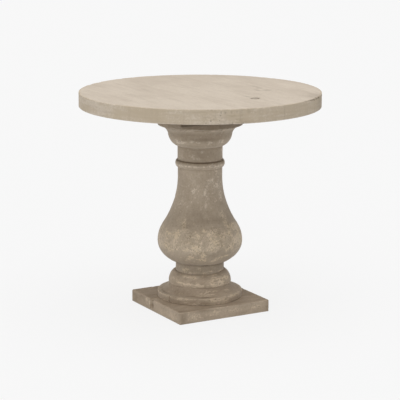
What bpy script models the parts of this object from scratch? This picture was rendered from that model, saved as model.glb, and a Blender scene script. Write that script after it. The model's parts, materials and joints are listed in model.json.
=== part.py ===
"""Round pedestal side table in pale limed wood, modelled piece by piece.

Metres, +Z up. The origin is the middle of the plinth's underside, on the floor.
The plinth's sides lie along X and Y, and the boards of the top run along Y.
"""
import math

import bmesh
import bpy
from mathutils import Matrix, Vector
from mathutils.geometry import interpolate_bezier

# Clearances
SEAT_GAP = 0.0003          # between pieces that rest on, or are glued to, each other
ROD_CLEARANCE = 0.0010     # round the tie rod in the wood
RECESS_CLEARANCE = 0.0040  # round the washer, for a socket spanner
HOLE_END_ROOM = 0.0010     # past the end of a dowel or screw in its hole
CUT_OVERRUN = 0.0100       # how far a cutter runs past the face that it opens

# Round top
TOP_DIAMETER = 0.6600
TOP_THICKNESS = 0.0390
TOP_EDGE_ROUND = 0.0012
BOARD_WIDTH = 0.1320
SPLINE_THICKNESS = 0.0080
SPLINE_DEPTH = 0.0120
SPLINE_END_MARGIN = 0.0450

# Square block under the top
BLOCK_SIDE = 0.2640
BLOCK_THICKNESS = 0.0328
BLOCK_SEAM = 0.0300
BLOCK_DOWEL_SPREAD = 0.0800

# Capital disc and bowl
CAPITAL_RADIUS = 0.1170
CAPITAL_THICKNESS = 0.0190
CAPITAL_SEAM = -0.0300
CAPITAL_DOWEL_SPREAD = 0.0600
BOWL_FILLET_HEIGHT = 0.0046
BOWL_LIP_RADIUS = 0.1031
BOWL_LIP_RISE = 0.0207
BOWL_BELLY_RADIUS = 0.0877
BOWL_BELLY_RISE = 0.0323

# Column
UPPER_NECK_RADIUS = 0.0618
UPPER_NECK_HEIGHT = 0.0389
BEAD_RADIUS = 0.0679
BEAD_HEIGHT = 0.0205
VASE_NECK_RADIUS = 0.0612
VASE_NECK_HEIGHT = 0.0257
VASE_RISE = 0.1284
SHOULDER_RADIUS = 0.0994
SHOULDER_RISE = 0.0522
BULB_RADIUS = 0.1172
BULB_RISE = 0.0586
LOWER_NECK_RADIUS = 0.0668
LOWER_NECK_HEIGHT = 0.0260

# Ring and foot disc
RING_RADIUS = 0.0866
RING_HEIGHT = 0.0331
RING_ARRIS = 0.0024
FOOT_RADIUS = 0.1170
FOOT_HEIGHT = 0.0406
FOOT_RIM_HEIGHT = 0.0180
FOOT_SEAM = -0.0300
FOOT_DOWEL_SPREAD = 0.0600

# Plinth
PLINTH_SIDE = 0.2810
PLINTH_THICKNESS = 0.0334
PLINTH_SEAM = 0.0300
PLINTH_DOWEL_SPREAD = 0.0950

# Worn edge on the block, the plinth and the discs
EDGE_ROUND = 0.0020

# Spigots that centre one turned piece in the next
SPIGOT_RADIUS = 0.0220
SPIGOT_LENGTH = 0.0120

# Dowels across the glued joints
DOWEL_RADIUS = 0.0040
DOWEL_LENGTH = 0.0500

# Tie rod, nuts and washers
ROD_RADIUS = 0.0060
ROD_END_INSET = 0.0020
ROD_PROTRUSION = 0.0020
NUT_ACROSS_FLATS = 0.0190
NUT_HEIGHT = 0.0100
WASHER_RADIUS = 0.0150
WASHER_THICKNESS = 0.0025

# Screws from the block into the boards
SCREW_SHANK_RADIUS = 0.0025
SCREW_HEAD_RADIUS = 0.0050
SCREW_HEAD_HEIGHT = 0.0035
SCREW_TIP_LENGTH = 0.0040
SCREW_BITE = 0.0170
SCREW_HEAD_INSET = 0.0005
SCREW_CORNER_INSET = 0.0240
SCREW_SIDE_INSET = 0.0140
SCREW_SIDE_SPREAD = 0.0450

# Shape of the curves, as shares of the rise or the reach of each curve
VASE_HANDLE = 0.48
VASE_SHOULDER_HANDLE = 0.177
SHOULDER_HANDLE = 0.30
SHOULDER_BULB_HANDLE = 0.44
SHOULDER_SLOPE = 1.55
BULB_HANDLE = 0.64
BULB_FOOT_HANDLE = 0.18
BOWL_NECK_HANDLE = 0.39
BOWL_BELLY_HANDLE = 0.535
BOWL_FLARE_HANDLE = 0.37
BOWL_LIP_HANDLE = 0.15
BOWL_LIP_SPREAD = 0.50
BOWL_BELLY_LEAN = 0.10
RING_LOWER_HANDLE = 0.50
RING_UPPER_HANDLE = 0.57
COVE_UPPER_HANDLE = 0.55
COVE_LOWER_HANDLE = 0.50

# Fineness of the round shapes
TURN_STEPS = 40
TOP_SIDES = 96
ROD_SIDES = 20
DOWEL_SIDES = 12
NUT_SIDES = 6
SCREW_STEPS = 10
CURVE_POINTS = 7
RING_CURVE_POINTS = 8
LONG_CURVE_POINTS = 9
ROUND_POINTS = 3
SMOOTH_ANGLE = math.radians(32.0)
MERGE_DISTANCE = 0.00001

# Levels, worked out from the floor up
FOOT_BASE = PLINTH_THICKNESS
FOOT_TOP = FOOT_BASE + FOOT_HEIGHT
RING_TOP = FOOT_TOP + RING_HEIGHT
LOWER_NECK_TOP = RING_TOP + LOWER_NECK_HEIGHT
BULB_LEVEL = LOWER_NECK_TOP + BULB_RISE
SHOULDER_LEVEL = BULB_LEVEL + SHOULDER_RISE
VASE_NECK_LEVEL = SHOULDER_LEVEL + VASE_RISE
BEAD_BOTTOM = VASE_NECK_LEVEL + VASE_NECK_HEIGHT
BEAD_TOP = BEAD_BOTTOM + BEAD_HEIGHT
COLUMN_TOP = BEAD_TOP + UPPER_NECK_HEIGHT
BELLY_LEVEL = COLUMN_TOP + BOWL_BELLY_RISE
LIP_LEVEL = BELLY_LEVEL + BOWL_LIP_RISE
BOWL_TOP = LIP_LEVEL + BOWL_FILLET_HEIGHT
CAPITAL_TOP = BOWL_TOP + CAPITAL_THICKNESS
BLOCK_TOP = CAPITAL_TOP + BLOCK_THICKNESS
TABLE_HEIGHT = BLOCK_TOP + TOP_THICKNESS

# Sizes that follow from others
TOP_RADIUS = TOP_DIAMETER / 2
RING_SEAT_RADIUS = RING_RADIUS - RING_ARRIS
BORE_RADIUS = ROD_RADIUS + ROD_CLEARANCE
SOCKET_RADIUS = SPIGOT_RADIUS + SEAT_GAP
SOCKET_DEPTH = SPIGOT_LENGTH + SEAT_GAP
RECESS_RADIUS = WASHER_RADIUS + RECESS_CLEARANCE
RECESS_DEPTH = (ROD_END_INSET + ROD_PROTRUSION + NUT_HEIGHT + WASHER_THICKNESS
                + 2 * SEAT_GAP)
HALF_PLANE_REACH = TOP_DIAMETER + PLINTH_SIDE

# Colours of the finishes, with roughness and metallic value
FINISHES = {
    "top_wood": ((0.60, 0.52, 0.42), 0.62, 0.0),
    "turned_wood": ((0.33, 0.27, 0.21), 0.70, 0.0),
    "plinth_wood": ((0.34, 0.28, 0.21), 0.72, 0.0),
    "plain_wood": ((0.52, 0.38, 0.22), 0.75, 0.0),
    "steel": ((0.56, 0.56, 0.55), 0.38, 1.0),
}


def clear_scene():
    """Remove whatever the file holds, so that the script can run again."""
    for obj in list(bpy.data.objects):
        bpy.data.objects.remove(obj, do_unlink=True)
    for collection in list(bpy.data.collections):
        bpy.data.collections.remove(collection)


def new_collection(name):
    """Make a collection in the scene."""
    collection = bpy.data.collections.new(name)
    bpy.context.scene.collection.children.link(collection)
    return collection


def make_finish(name):
    """Make one material from its colour, roughness and metallic value."""
    colour, roughness, metallic = FINISHES[name]
    material = bpy.data.materials.new(name)
    material.use_nodes = True
    shader = material.node_tree.nodes["Principled BSDF"]
    shader.inputs["Base Color"].default_value = (*colour, 1.0)
    shader.inputs["Roughness"].default_value = roughness
    shader.inputs["Metallic"].default_value = metallic
    material.diffuse_color = (*colour, 1.0)
    return material


class Workshop:
    """The collections, the parent empty and the finishes that all pieces share."""

    def __init__(self):
        clear_scene()
        self.parts = new_collection("side_table")
        self.cutters = new_collection("cutters")
        self.finishes = {name: make_finish(name) for name in FINISHES}
        self.root = bpy.data.objects.new("side_table_root", None)
        self.parts.objects.link(self.root)
        self.pieces = []

    def piece(self, name, mesh, finish, place=(0.0, 0.0, 0.0)):
        """Add a named piece of the table at its place."""
        obj = bpy.data.objects.new(name, mesh)
        self.parts.objects.link(obj)
        obj.parent = self.root
        obj.location = place
        mesh.materials.append(self.finishes[finish])
        self.pieces.append(obj)
        return obj

    def cutter(self, name, mesh, place=(0.0, 0.0, 0.0)):
        """Add a shape that only cuts other pieces."""
        obj = bpy.data.objects.new(name, mesh)
        self.cutters.objects.link(obj)
        obj.location = place
        obj.hide_render = True
        obj.display_type = "WIRE"
        return obj

    def settle(self):
        """Keep each piece's finished mesh, shaded smooth between its sharp edges."""
        bpy.context.view_layer.update()
        graph = bpy.context.evaluated_depsgraph_get()
        finished = {}
        for obj in self.pieces:
            finished[obj] = bpy.data.meshes.new_from_object(obj.evaluated_get(graph))
        for obj, mesh in finished.items():
            obj.modifiers.clear()
            obj.data = mesh
            mesh.name = obj.name
            mesh.shade_smooth()
            mesh.set_sharp_from_angle(angle=SMOOTH_ANGLE)


def mesh_of(name, shape):
    """Turn a bmesh into a mesh."""
    mesh = bpy.data.meshes.new(name)
    shape.to_mesh(mesh)
    shape.free()
    return mesh


def box_mesh(name, low, high):
    """A box between two corners."""
    low, high = Vector(low), Vector(high)
    shape = bmesh.new()
    bmesh.ops.create_cube(shape, size=1.0)
    stretch = Matrix.Diagonal((*(high - low), 1.0))
    shape.transform(Matrix.Translation((low + high) / 2) @ stretch)
    return mesh_of(name, shape)


def add_rod(shape, radius, length, sides, middle, along_y=False):
    """Add a round bar to a bmesh, along Z or along Y."""
    turn = Matrix.Rotation(math.pi / 2, 4, "X") if along_y else Matrix.Identity(4)
    bmesh.ops.create_cone(shape, cap_ends=True, segments=sides, radius1=radius,
                          radius2=radius, depth=length,
                          matrix=Matrix.Translation(middle) @ turn)


def rod_mesh(name, radius, low, high, sides):
    """A round bar on the Z axis between two heights."""
    shape = bmesh.new()
    add_rod(shape, radius, high - low, sides, (0.0, 0.0, (low + high) / 2))
    return mesh_of(name, shape)


def outline_mesh(name, outline, closed):
    """A chain of edges through points given as (radius, height)."""
    count = len(outline)
    points = [(radius, 0.0, height) for radius, height in outline]
    edges = [(i, (i + 1) % count) for i in range(count if closed else count - 1)]
    mesh = bpy.data.meshes.new(name)
    mesh.from_pydata(points, edges, [])
    return mesh


def turn_on_lathe(obj, steps):
    """Sweep an outline round the Z axis."""
    screw = obj.modifiers.new("turning", "SCREW")
    screw.axis = "Z"
    screw.angle = 2 * math.pi
    screw.steps = steps
    screw.render_steps = steps
    screw.use_merge_vertices = True
    screw.merge_threshold = MERGE_DISTANCE
    return obj


def cut(obj, cutter, operation="DIFFERENCE"):
    """Cut a piece with another shape, or keep only what lies inside it."""
    boolean = obj.modifiers.new(cutter.name, "BOOLEAN")
    boolean.operation = operation
    boolean.solver = "EXACT"
    boolean.object = cutter


def round_edges(obj, width):
    """Round the sharp edges that a piece has so far."""
    bevel = obj.modifiers.new("worn edges", "BEVEL")
    bevel.width = width
    bevel.segments = ROUND_POINTS - 1
    bevel.limit_method = "ANGLE"


def curve(start, start_handle, end_handle, end, points=CURVE_POINTS):
    """Points of a Bezier curve in (radius, height), without its first point."""
    knots = [Vector((radius, height)) for radius, height in
             (start, start_handle, end_handle, end)]
    return [tuple(point) for point in interpolate_bezier(*knots, points)[1:]]


def round_corner(centre, radius, first_angle, last_angle):
    """Points of an arc in (radius, height) between two angles in degrees."""
    span = (last_angle - first_angle) / (ROUND_POINTS - 1)
    angles = [math.radians(first_angle + i * span) for i in range(ROUND_POINTS)]
    return [(centre[0] + radius * math.cos(a), centre[1] + radius * math.sin(a))
            for a in angles]


def bored_outline(outer, socket, spigot):
    """Close an outer profile, given top to bottom, round the bore for the tie rod."""
    top, bottom = outer[0][1], outer[-1][1]
    outline = [(SOCKET_RADIUS if socket else BORE_RADIUS, top)] + outer
    if spigot:
        end = bottom - SPIGOT_LENGTH
        outline += [(SPIGOT_RADIUS, bottom), (SPIGOT_RADIUS, end), (BORE_RADIUS, end)]
    else:
        outline.append((BORE_RADIUS, bottom))
    if socket:
        floor = top - SOCKET_DEPTH
        outline += [(BORE_RADIUS, floor), (SOCKET_RADIUS, floor)]
    return outline


def counted_from(level, outline):
    """The same outline with its heights counted from a level."""
    return [(radius, height - level) for radius, height in outline]


def column_profile():
    """Neck, bead, vase and lower neck, top to bottom."""
    bead_middle = (BEAD_TOP + BEAD_BOTTOM) / 2
    bead = []
    for i in range(1, CURVE_POINTS):
        angle = math.pi / 2 - math.pi * i / CURVE_POINTS
        neck = UPPER_NECK_RADIUS if angle > 0 else VASE_NECK_RADIUS
        bead.append((neck + (BEAD_RADIUS - neck) * math.cos(angle),
                     bead_middle + BEAD_HEIGHT / 2 * math.sin(angle)))
    slant = math.hypot(1.0, SHOULDER_SLOPE)
    out, rise = -1.0 / slant, SHOULDER_SLOPE / slant
    shoulder = (SHOULDER_RADIUS, SHOULDER_LEVEL)
    above = VASE_SHOULDER_HANDLE * VASE_RISE
    below = SHOULDER_HANDLE * SHOULDER_RISE
    reach = BULB_RADIUS - LOWER_NECK_RADIUS
    profile = [(UPPER_NECK_RADIUS, COLUMN_TOP), (UPPER_NECK_RADIUS, BEAD_TOP)]
    profile += bead
    profile += [(VASE_NECK_RADIUS, BEAD_BOTTOM), (VASE_NECK_RADIUS, VASE_NECK_LEVEL)]
    profile += curve(profile[-1],
                     (VASE_NECK_RADIUS, VASE_NECK_LEVEL - VASE_HANDLE * VASE_RISE),
                     (SHOULDER_RADIUS + out * above, SHOULDER_LEVEL + rise * above),
                     shoulder, LONG_CURVE_POINTS)
    profile += curve(shoulder,
                     (SHOULDER_RADIUS - out * below, SHOULDER_LEVEL - rise * below),
                     (BULB_RADIUS, BULB_LEVEL + SHOULDER_BULB_HANDLE * SHOULDER_RISE),
                     (BULB_RADIUS, BULB_LEVEL))
    profile += curve(profile[-1],
                     (BULB_RADIUS, BULB_LEVEL - BULB_HANDLE * BULB_RISE),
                     (LOWER_NECK_RADIUS + BULB_FOOT_HANDLE * reach, LOWER_NECK_TOP),
                     (LOWER_NECK_RADIUS, LOWER_NECK_TOP), LONG_CURVE_POINTS)
    profile.append((LOWER_NECK_RADIUS, RING_TOP + SEAT_GAP))
    return profile


def bowl_profile():
    """Fillet, flared lip and round belly of the bowl, top to bottom."""
    base = COLUMN_TOP + SEAT_GAP
    reach = BOWL_BELLY_RADIUS - UPPER_NECK_RADIUS
    flare = BOWL_LIP_RADIUS - BOWL_BELLY_RADIUS
    lip = (BOWL_LIP_RADIUS, LIP_LEVEL)
    belly = (BOWL_BELLY_RADIUS, BELLY_LEVEL)
    lean = BOWL_FLARE_HANDLE * BOWL_LIP_RISE
    drop = BOWL_BELLY_HANDLE * BOWL_BELLY_RISE
    profile = [(BOWL_LIP_RADIUS, BOWL_TOP), lip]
    profile += curve(lip,
                     (BOWL_LIP_RADIUS - BOWL_LIP_SPREAD * flare,
                      LIP_LEVEL - BOWL_LIP_HANDLE * BOWL_LIP_RISE),
                     (BOWL_BELLY_RADIUS + BOWL_BELLY_LEAN * lean, BELLY_LEVEL + lean), belly)
    profile += curve(belly,
                     (BOWL_BELLY_RADIUS - BOWL_BELLY_LEAN * drop, BELLY_LEVEL - drop),
                     (UPPER_NECK_RADIUS + BOWL_NECK_HANDLE * reach, base),
                     (UPPER_NECK_RADIUS, base))
    return profile


def ring_profile():
    """Half-round ring with a worn lower arris, top to bottom."""
    base = FOOT_TOP + SEAT_GAP
    arris = base + RING_ARRIS
    reach = RING_RADIUS - LOWER_NECK_RADIUS
    rise = RING_TOP - arris
    profile = [(LOWER_NECK_RADIUS, RING_TOP)]
    profile += curve(profile[-1],
                     (LOWER_NECK_RADIUS + RING_UPPER_HANDLE * reach, RING_TOP),
                     (RING_RADIUS, arris + RING_LOWER_HANDLE * rise),
                     (RING_RADIUS, arris), RING_CURVE_POINTS)
    profile += round_corner((RING_SEAT_RADIUS, arris), RING_ARRIS, 0.0, -90.0)[1:]
    return profile


def foot_profile():
    """Seat for the ring, hollow cove and upright rim of the foot disc, top to bottom."""
    base = FOOT_BASE + SEAT_GAP
    rim = FOOT_BASE + FOOT_RIM_HEIGHT
    reach = FOOT_RADIUS - EDGE_ROUND - RING_SEAT_RADIUS
    drop = FOOT_TOP - rim
    seat = (RING_SEAT_RADIUS, FOOT_TOP)
    profile = [seat]
    profile += curve(seat, (RING_SEAT_RADIUS, FOOT_TOP - COVE_UPPER_HANDLE * drop),
                     (FOOT_RADIUS - EDGE_ROUND - COVE_LOWER_HANDLE * reach, rim),
                     (FOOT_RADIUS - EDGE_ROUND, rim))
    profile += round_corner((FOOT_RADIUS - EDGE_ROUND, rim - EDGE_ROUND),
                            EDGE_ROUND, 90.0, 0.0)[1:]
    profile.append((FOOT_RADIUS, base))
    return profile


def capital_profile():
    """Flat disc with a worn rim, top to bottom."""
    base = BOWL_TOP + SEAT_GAP
    inner = CAPITAL_RADIUS - EDGE_ROUND
    profile = round_corner((inner, CAPITAL_TOP - EDGE_ROUND), EDGE_ROUND, 90.0, 0.0)
    profile += round_corner((inner, base + EDGE_ROUND), EDGE_ROUND, 0.0, -90.0)
    return profile


def make_turned(shop, name, profile, level, socket, spigot):
    """One whole turned piece, standing on its own level."""
    outline = counted_from(level, bored_outline(profile, socket, spigot))
    obj = shop.piece(name, outline_mesh(name, outline, True), "turned_wood",
                     (0.0, 0.0, level))
    return turn_on_lathe(obj, TURN_STEPS)


def half_plane(shop, name, seam, back):
    """A cutter that covers all that lies behind a seam along X, or in front of it."""
    reach = HALF_PLANE_REACH
    edge = SEAT_GAP / 2
    low = (-reach, seam + edge if back else -reach, -reach)
    high = (reach, reach if back else seam - edge, reach)
    return shop.cutter(name, box_mesh(name, low, high))


def make_jointed_pair(shop, name, make_whole, seam, dowel_name, spread, level):
    """Two boards glued along a seam that runs along X, with a pair of dowels across it."""
    holes = bmesh.new()
    for number, side in enumerate((-1, 1), start=1):
        middle = (side * spread, seam, level)
        add_rod(holes, DOWEL_RADIUS + SEAT_GAP, DOWEL_LENGTH + 2 * HOLE_END_ROOM,
                DOWEL_SIDES, middle, along_y=True)
        shape = bmesh.new()
        add_rod(shape, DOWEL_RADIUS, DOWEL_LENGTH, DOWEL_SIDES, (0.0, 0.0, 0.0),
                along_y=True)
        label = f"{dowel_name}_{number}"
        shop.piece(label, mesh_of(label, shape), "plain_wood", middle)
    hole_cutter = shop.cutter(f"{name}_dowel_holes", mesh_of(f"{name}_dowel_holes", holes))
    boards = []
    for number in (1, 2):
        board = make_whole(f"{name}_{number}")
        cut(board, half_plane(shop, f"{name}_side_{number}", seam, number == 2), "INTERSECT")
        cut(board, hole_cutter)
        boards.append(board)
    return boards


def make_square(shop, name, side, base, top, finish):
    """A whole square board with worn edges."""
    mesh = box_mesh(name, (-side / 2, -side / 2, 0.0), (side / 2, side / 2, top - base))
    obj = shop.piece(name, mesh, finish, (0.0, 0.0, base))
    round_edges(obj, EDGE_ROUND)
    return obj


def rod_bore(shop, name, low, high, recess_low, recess_high):
    """Cutters for the tie rod's bore and for the recess of its nut and washer."""
    bore = shop.cutter(f"{name}_bore", rod_mesh(f"{name}_bore", BORE_RADIUS, low, high,
                                                ROD_SIDES))
    recess = shop.cutter(f"{name}_recess", rod_mesh(f"{name}_recess", RECESS_RADIUS,
                                                    recess_low, recess_high, TURN_STEPS))
    return bore, recess


def make_plinth(shop):
    """Square plinth of two boards, with the lower nut's recess in its underside."""
    boards = make_jointed_pair(
        shop, "plinth_board",
        lambda name: make_square(shop, name, PLINTH_SIDE, 0.0, PLINTH_THICKNESS,
                                 "plinth_wood"),
        PLINTH_SEAM, "plinth_dowel", PLINTH_DOWEL_SPREAD, PLINTH_THICKNESS / 2)
    cutters = rod_bore(shop, "plinth", -CUT_OVERRUN, PLINTH_THICKNESS + CUT_OVERRUN,
                       -CUT_OVERRUN, RECESS_DEPTH)
    for board in boards:
        for cutter in cutters:
            cut(board, cutter)


def make_foot(shop):
    """Stepped foot disc of two boards."""
    profile = foot_profile()
    level = FOOT_BASE + SEAT_GAP
    make_jointed_pair(
        shop, "foot_disc",
        lambda name: make_turned(shop, name, profile, level, True, False),
        FOOT_SEAM, "foot_dowel", FOOT_DOWEL_SPREAD, FOOT_BASE + FOOT_RIM_HEIGHT / 2)


def make_capital(shop):
    """Thin disc of two boards between the bowl and the block."""
    profile = capital_profile()
    level = BOWL_TOP + SEAT_GAP
    make_jointed_pair(
        shop, "capital_disc",
        lambda name: make_turned(shop, name, profile, level, False, True),
        CAPITAL_SEAM, "capital_dowel", CAPITAL_DOWEL_SPREAD,
        BOWL_TOP + CAPITAL_THICKNESS / 2)


def screw_places():
    """Places of the screws: the block's four corners, and two near each end."""
    corner = BLOCK_SIDE / 2 - SCREW_CORNER_INSET
    end = BLOCK_SIDE / 2 - SCREW_SIDE_INSET
    places = [(x * corner, y * corner) for x in (-1, 1) for y in (-1, 1)]
    places += [(x * SCREW_SIDE_SPREAD, y * end) for x in (-1, 1) for y in (-1, 1)]
    return places


def screw_outline(room):
    """Countersunk screw, point up, from its point down, grown by the room round it."""
    head_base = CAPITAL_TOP + SEAT_GAP + SCREW_HEAD_INSET
    point = BLOCK_TOP + SEAT_GAP + SCREW_BITE
    shank = SCREW_SHANK_RADIUS + room
    head = SCREW_HEAD_RADIUS + room
    outline = [(0.0, point + (HOLE_END_ROOM if room else 0.0)),
               (shank, point - SCREW_TIP_LENGTH + room),
               (shank, head_base + SCREW_HEAD_HEIGHT + room),
               (head, head_base + room)]
    if room:
        outline += [(head, CAPITAL_TOP - CUT_OVERRUN), (0.0, CAPITAL_TOP - CUT_OVERRUN)]
    else:
        outline.append((0.0, head_base))
    return outline


def make_screws(shop):
    """The screws, and the cutters for their holes."""
    holes = []
    outline, hole = screw_outline(0.0), screw_outline(SEAT_GAP)
    for number, (x, y) in enumerate(screw_places(), start=1):
        name = f"top_screw_{number}"
        turn_on_lathe(shop.piece(name, outline_mesh(name, outline, False), "steel",
                                 (x, y, 0.0)), SCREW_STEPS)
        cutter = shop.cutter(f"{name}_hole", outline_mesh(f"{name}_hole", hole, False),
                             (x, y, 0.0))
        holes.append(turn_on_lathe(cutter, SCREW_STEPS))
    return holes


def make_block(shop, screw_holes):
    """Square block of two boards, with the upper nut's recess in its top."""
    base = CAPITAL_TOP + SEAT_GAP
    boards = make_jointed_pair(
        shop, "block_board",
        lambda name: make_square(shop, name, BLOCK_SIDE, base, BLOCK_TOP, "plinth_wood"),
        BLOCK_SEAM, "block_dowel", BLOCK_DOWEL_SPREAD, (base + BLOCK_TOP) / 2)
    cutters = rod_bore(shop, "block", base - CUT_OVERRUN, BLOCK_TOP + CUT_OVERRUN,
                       BLOCK_TOP - RECESS_DEPTH, BLOCK_TOP + CUT_OVERRUN)
    for board in boards:
        for cutter in (*cutters, *screw_holes):
            cut(board, cutter)


def board_seams():
    """Where the joints between the boards of the top lie along X."""
    count = max(2, round(TOP_DIAMETER / BOARD_WIDTH))
    return [(i + 1 - count / 2) * BOARD_WIDTH for i in range(count - 1)]


def spline_box(seam, room):
    """Corners of the spline in a seam, or of its groove, with room round it."""
    base = BLOCK_TOP + SEAT_GAP
    middle = (base + TABLE_HEIGHT) / 2
    wide = SPLINE_DEPTH + room
    thick = SPLINE_THICKNESS / 2 + room
    chord = math.sqrt(TOP_RADIUS ** 2 - (abs(seam) + SPLINE_DEPTH) ** 2)
    half = chord - SPLINE_END_MARGIN + room
    return (seam - wide, -half, middle - thick), (seam + wide, half, middle + thick)


def make_top(shop, screw_holes):
    """Round top: boards side by side along X, with a loose spline in each joint."""
    base = BLOCK_TOP + SEAT_GAP
    thickness = TABLE_HEIGHT - base
    seams = board_seams()
    grooves = []
    for number, seam in enumerate(seams, start=1):
        name = f"top_spline_{number}"
        spline = shop.piece(name, box_mesh(name, *spline_box(seam, 0.0)), "plain_wood")
        for hole in screw_holes:
            cut(spline, hole)
        grooves.append(shop.cutter(f"{name}_groove",
                                   box_mesh(f"{name}_groove", *spline_box(seam, SEAT_GAP))))
    reach = TOP_RADIUS + CUT_OVERRUN
    edges = [-reach, *seams, reach]
    for number, (left, right) in enumerate(zip(edges, edges[1:]), start=1):
        name = f"top_board_{number}"
        board = shop.piece(name, rod_mesh(name, TOP_RADIUS, 0.0, thickness, TOP_SIDES),
                           "top_wood", (0.0, 0.0, base))
        round_edges(board, TOP_EDGE_ROUND)
        strip = box_mesh(f"{name}_strip", (left + SEAT_GAP / 2, -reach, -reach),
                         (right - SEAT_GAP / 2, reach, reach + TABLE_HEIGHT))
        cut(board, shop.cutter(f"{name}_strip", strip), "INTERSECT")
        for cutter in (*grooves, *screw_holes):
            cut(board, cutter)


def make_nut(shop, name, low):
    """Hexagon nut with a bore that clears the rod."""
    across_corners = NUT_ACROSS_FLATS / math.cos(math.pi / NUT_SIDES)
    nut = shop.piece(name, rod_mesh(name, across_corners / 2, 0.0, NUT_HEIGHT, NUT_SIDES),
                     "steel", (0.0, 0.0, low))
    bore = rod_mesh(f"{name}_bore", ROD_RADIUS + SEAT_GAP, low - CUT_OVERRUN,
                    low + NUT_HEIGHT + CUT_OVERRUN, ROD_SIDES)
    cut(nut, shop.cutter(f"{name}_bore", bore))


def make_washer(shop, name, low):
    """Flat washer with a bore that clears the rod."""
    bore = ROD_RADIUS + SEAT_GAP
    outline = [(WASHER_RADIUS, WASHER_THICKNESS), (WASHER_RADIUS, 0.0), (bore, 0.0),
               (bore, WASHER_THICKNESS)]
    washer = shop.piece(name, outline_mesh(name, outline, True), "steel", (0.0, 0.0, low))
    turn_on_lathe(washer, ROD_SIDES)


def make_tie_rod(shop):
    """Rod that clamps the pedestal between the plinth and the block."""
    low, high = ROD_END_INSET, BLOCK_TOP - ROD_END_INSET
    shop.piece("tie_rod", rod_mesh("tie_rod", ROD_RADIUS, low, high, ROD_SIDES), "steel")
    lower_washer = RECESS_DEPTH - SEAT_GAP - WASHER_THICKNESS
    make_washer(shop, "rod_washer_bottom", lower_washer)
    make_nut(shop, "rod_nut_bottom", lower_washer - SEAT_GAP - NUT_HEIGHT)
    upper_washer = BLOCK_TOP - RECESS_DEPTH + SEAT_GAP
    make_washer(shop, "rod_washer_top", upper_washer)
    make_nut(shop, "rod_nut_top", upper_washer + WASHER_THICKNESS + SEAT_GAP)


def main():
    """Build the table from the floor up."""
    shop = Workshop()
    make_plinth(shop)
    make_foot(shop)
    make_turned(shop, "base_ring", ring_profile(), FOOT_TOP + SEAT_GAP, True, True)
    make_turned(shop, "column", column_profile(), RING_TOP + SEAT_GAP, True, True)
    make_turned(shop, "capital_bowl", bowl_profile(), COLUMN_TOP + SEAT_GAP, True, True)
    make_capital(shop)
    screw_holes = make_screws(shop)
    make_block(shop, screw_holes)
    make_top(shop, screw_holes)
    make_tie_rod(shop)
    shop.settle()


main()
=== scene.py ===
"""Looks of a round pedestal side table in worn, limed wood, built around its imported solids.

Metres, +Z up, in the frame of the solids: the origin is the middle of the plinth's underside.
"""
import functools
import json
import math
from types import SimpleNamespace

import bmesh
import bpy
import numpy as np
from mathutils import Matrix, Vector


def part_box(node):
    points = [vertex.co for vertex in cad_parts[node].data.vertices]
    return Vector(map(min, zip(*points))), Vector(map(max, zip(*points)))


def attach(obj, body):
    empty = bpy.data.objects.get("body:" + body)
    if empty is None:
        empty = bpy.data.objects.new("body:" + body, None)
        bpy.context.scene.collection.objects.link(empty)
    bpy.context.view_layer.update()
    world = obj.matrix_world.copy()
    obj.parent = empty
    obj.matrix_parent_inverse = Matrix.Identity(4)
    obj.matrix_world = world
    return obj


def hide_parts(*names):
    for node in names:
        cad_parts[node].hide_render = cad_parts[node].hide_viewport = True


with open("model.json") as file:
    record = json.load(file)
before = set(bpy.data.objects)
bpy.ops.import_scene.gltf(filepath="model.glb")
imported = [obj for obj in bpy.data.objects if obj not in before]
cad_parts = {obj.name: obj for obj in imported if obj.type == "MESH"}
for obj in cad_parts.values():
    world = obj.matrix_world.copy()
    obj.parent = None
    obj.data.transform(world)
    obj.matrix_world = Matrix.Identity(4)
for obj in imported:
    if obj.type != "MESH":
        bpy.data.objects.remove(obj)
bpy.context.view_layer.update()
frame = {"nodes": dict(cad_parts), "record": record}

# Places read from the solids
BODY = "root"
TOP_BOARDS = [f"top_board_{number}" for number in range(1, 6)]
top_low, top_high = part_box(TOP_BOARDS[2])
capital_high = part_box("capital_disc_2")[1]
bowl_low, bowl_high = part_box("capital_bowl")
column_low, column_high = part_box("column")
ring_low, ring_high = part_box("base_ring")
foot_low, foot_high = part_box("foot_disc_2")
plinth_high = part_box("plinth_board_1")[1]
# The block is square, so its front lies as far out as its side
block_front = -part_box("block_board_1")[1].x

# Sizes of the joints
SEAT_GAP = 0.0003
SPIGOT_RADIUS = 0.0220
SPIGOT_LENGTH = 0.0120
SOCKET_RADIUS = SPIGOT_RADIUS + SEAT_GAP
SOCKET_DEPTH = SPIGOT_LENGTH + SEAT_GAP
BORE_RADIUS = 0.0070
RECESS_RADIUS = 0.0190
RECESS_DEPTH = 0.0171
DISC_SEAM = -0.0300
PLINTH_SEAM = 0.0300

# Sizes of the top, the plinth and the turned profile
TOP_RADIUS = top_high.y
TOP_EDGE_ROUND = 0.0012
PLINTH_ROUND = 0.0034
PLINTH_SEAM_ROUND = 0.0006
PLINTH_FLOOR_ROUND = 0.0012
EDGE_ROUND = 0.0020
CAPITAL_RADIUS = capital_high.x
BOWL_FILLET_HEIGHT = 0.0046
BOWL_LIP_RADIUS = bowl_high.x
BOWL_LIP_RISE = 0.0207
BOWL_BELLY_RADIUS = 0.0877
BOWL_BELLY_RISE = 0.0323
UPPER_NECK_RADIUS = 0.0618
UPPER_NECK_HEIGHT = 0.0389
BEAD_RADIUS = 0.0679
BEAD_HEIGHT = 0.0205
VASE_NECK_RADIUS = 0.0612
VASE_NECK_HEIGHT = 0.0257
VASE_RISE = 0.1284
SHOULDER_RADIUS = 0.0994
SHOULDER_RISE = 0.0522
BULB_RADIUS = 0.1172
BULB_RISE = 0.0586
LOWER_NECK_RADIUS = 0.0668
RING_RADIUS = 0.0866
RING_ARRIS = 0.0010
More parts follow.
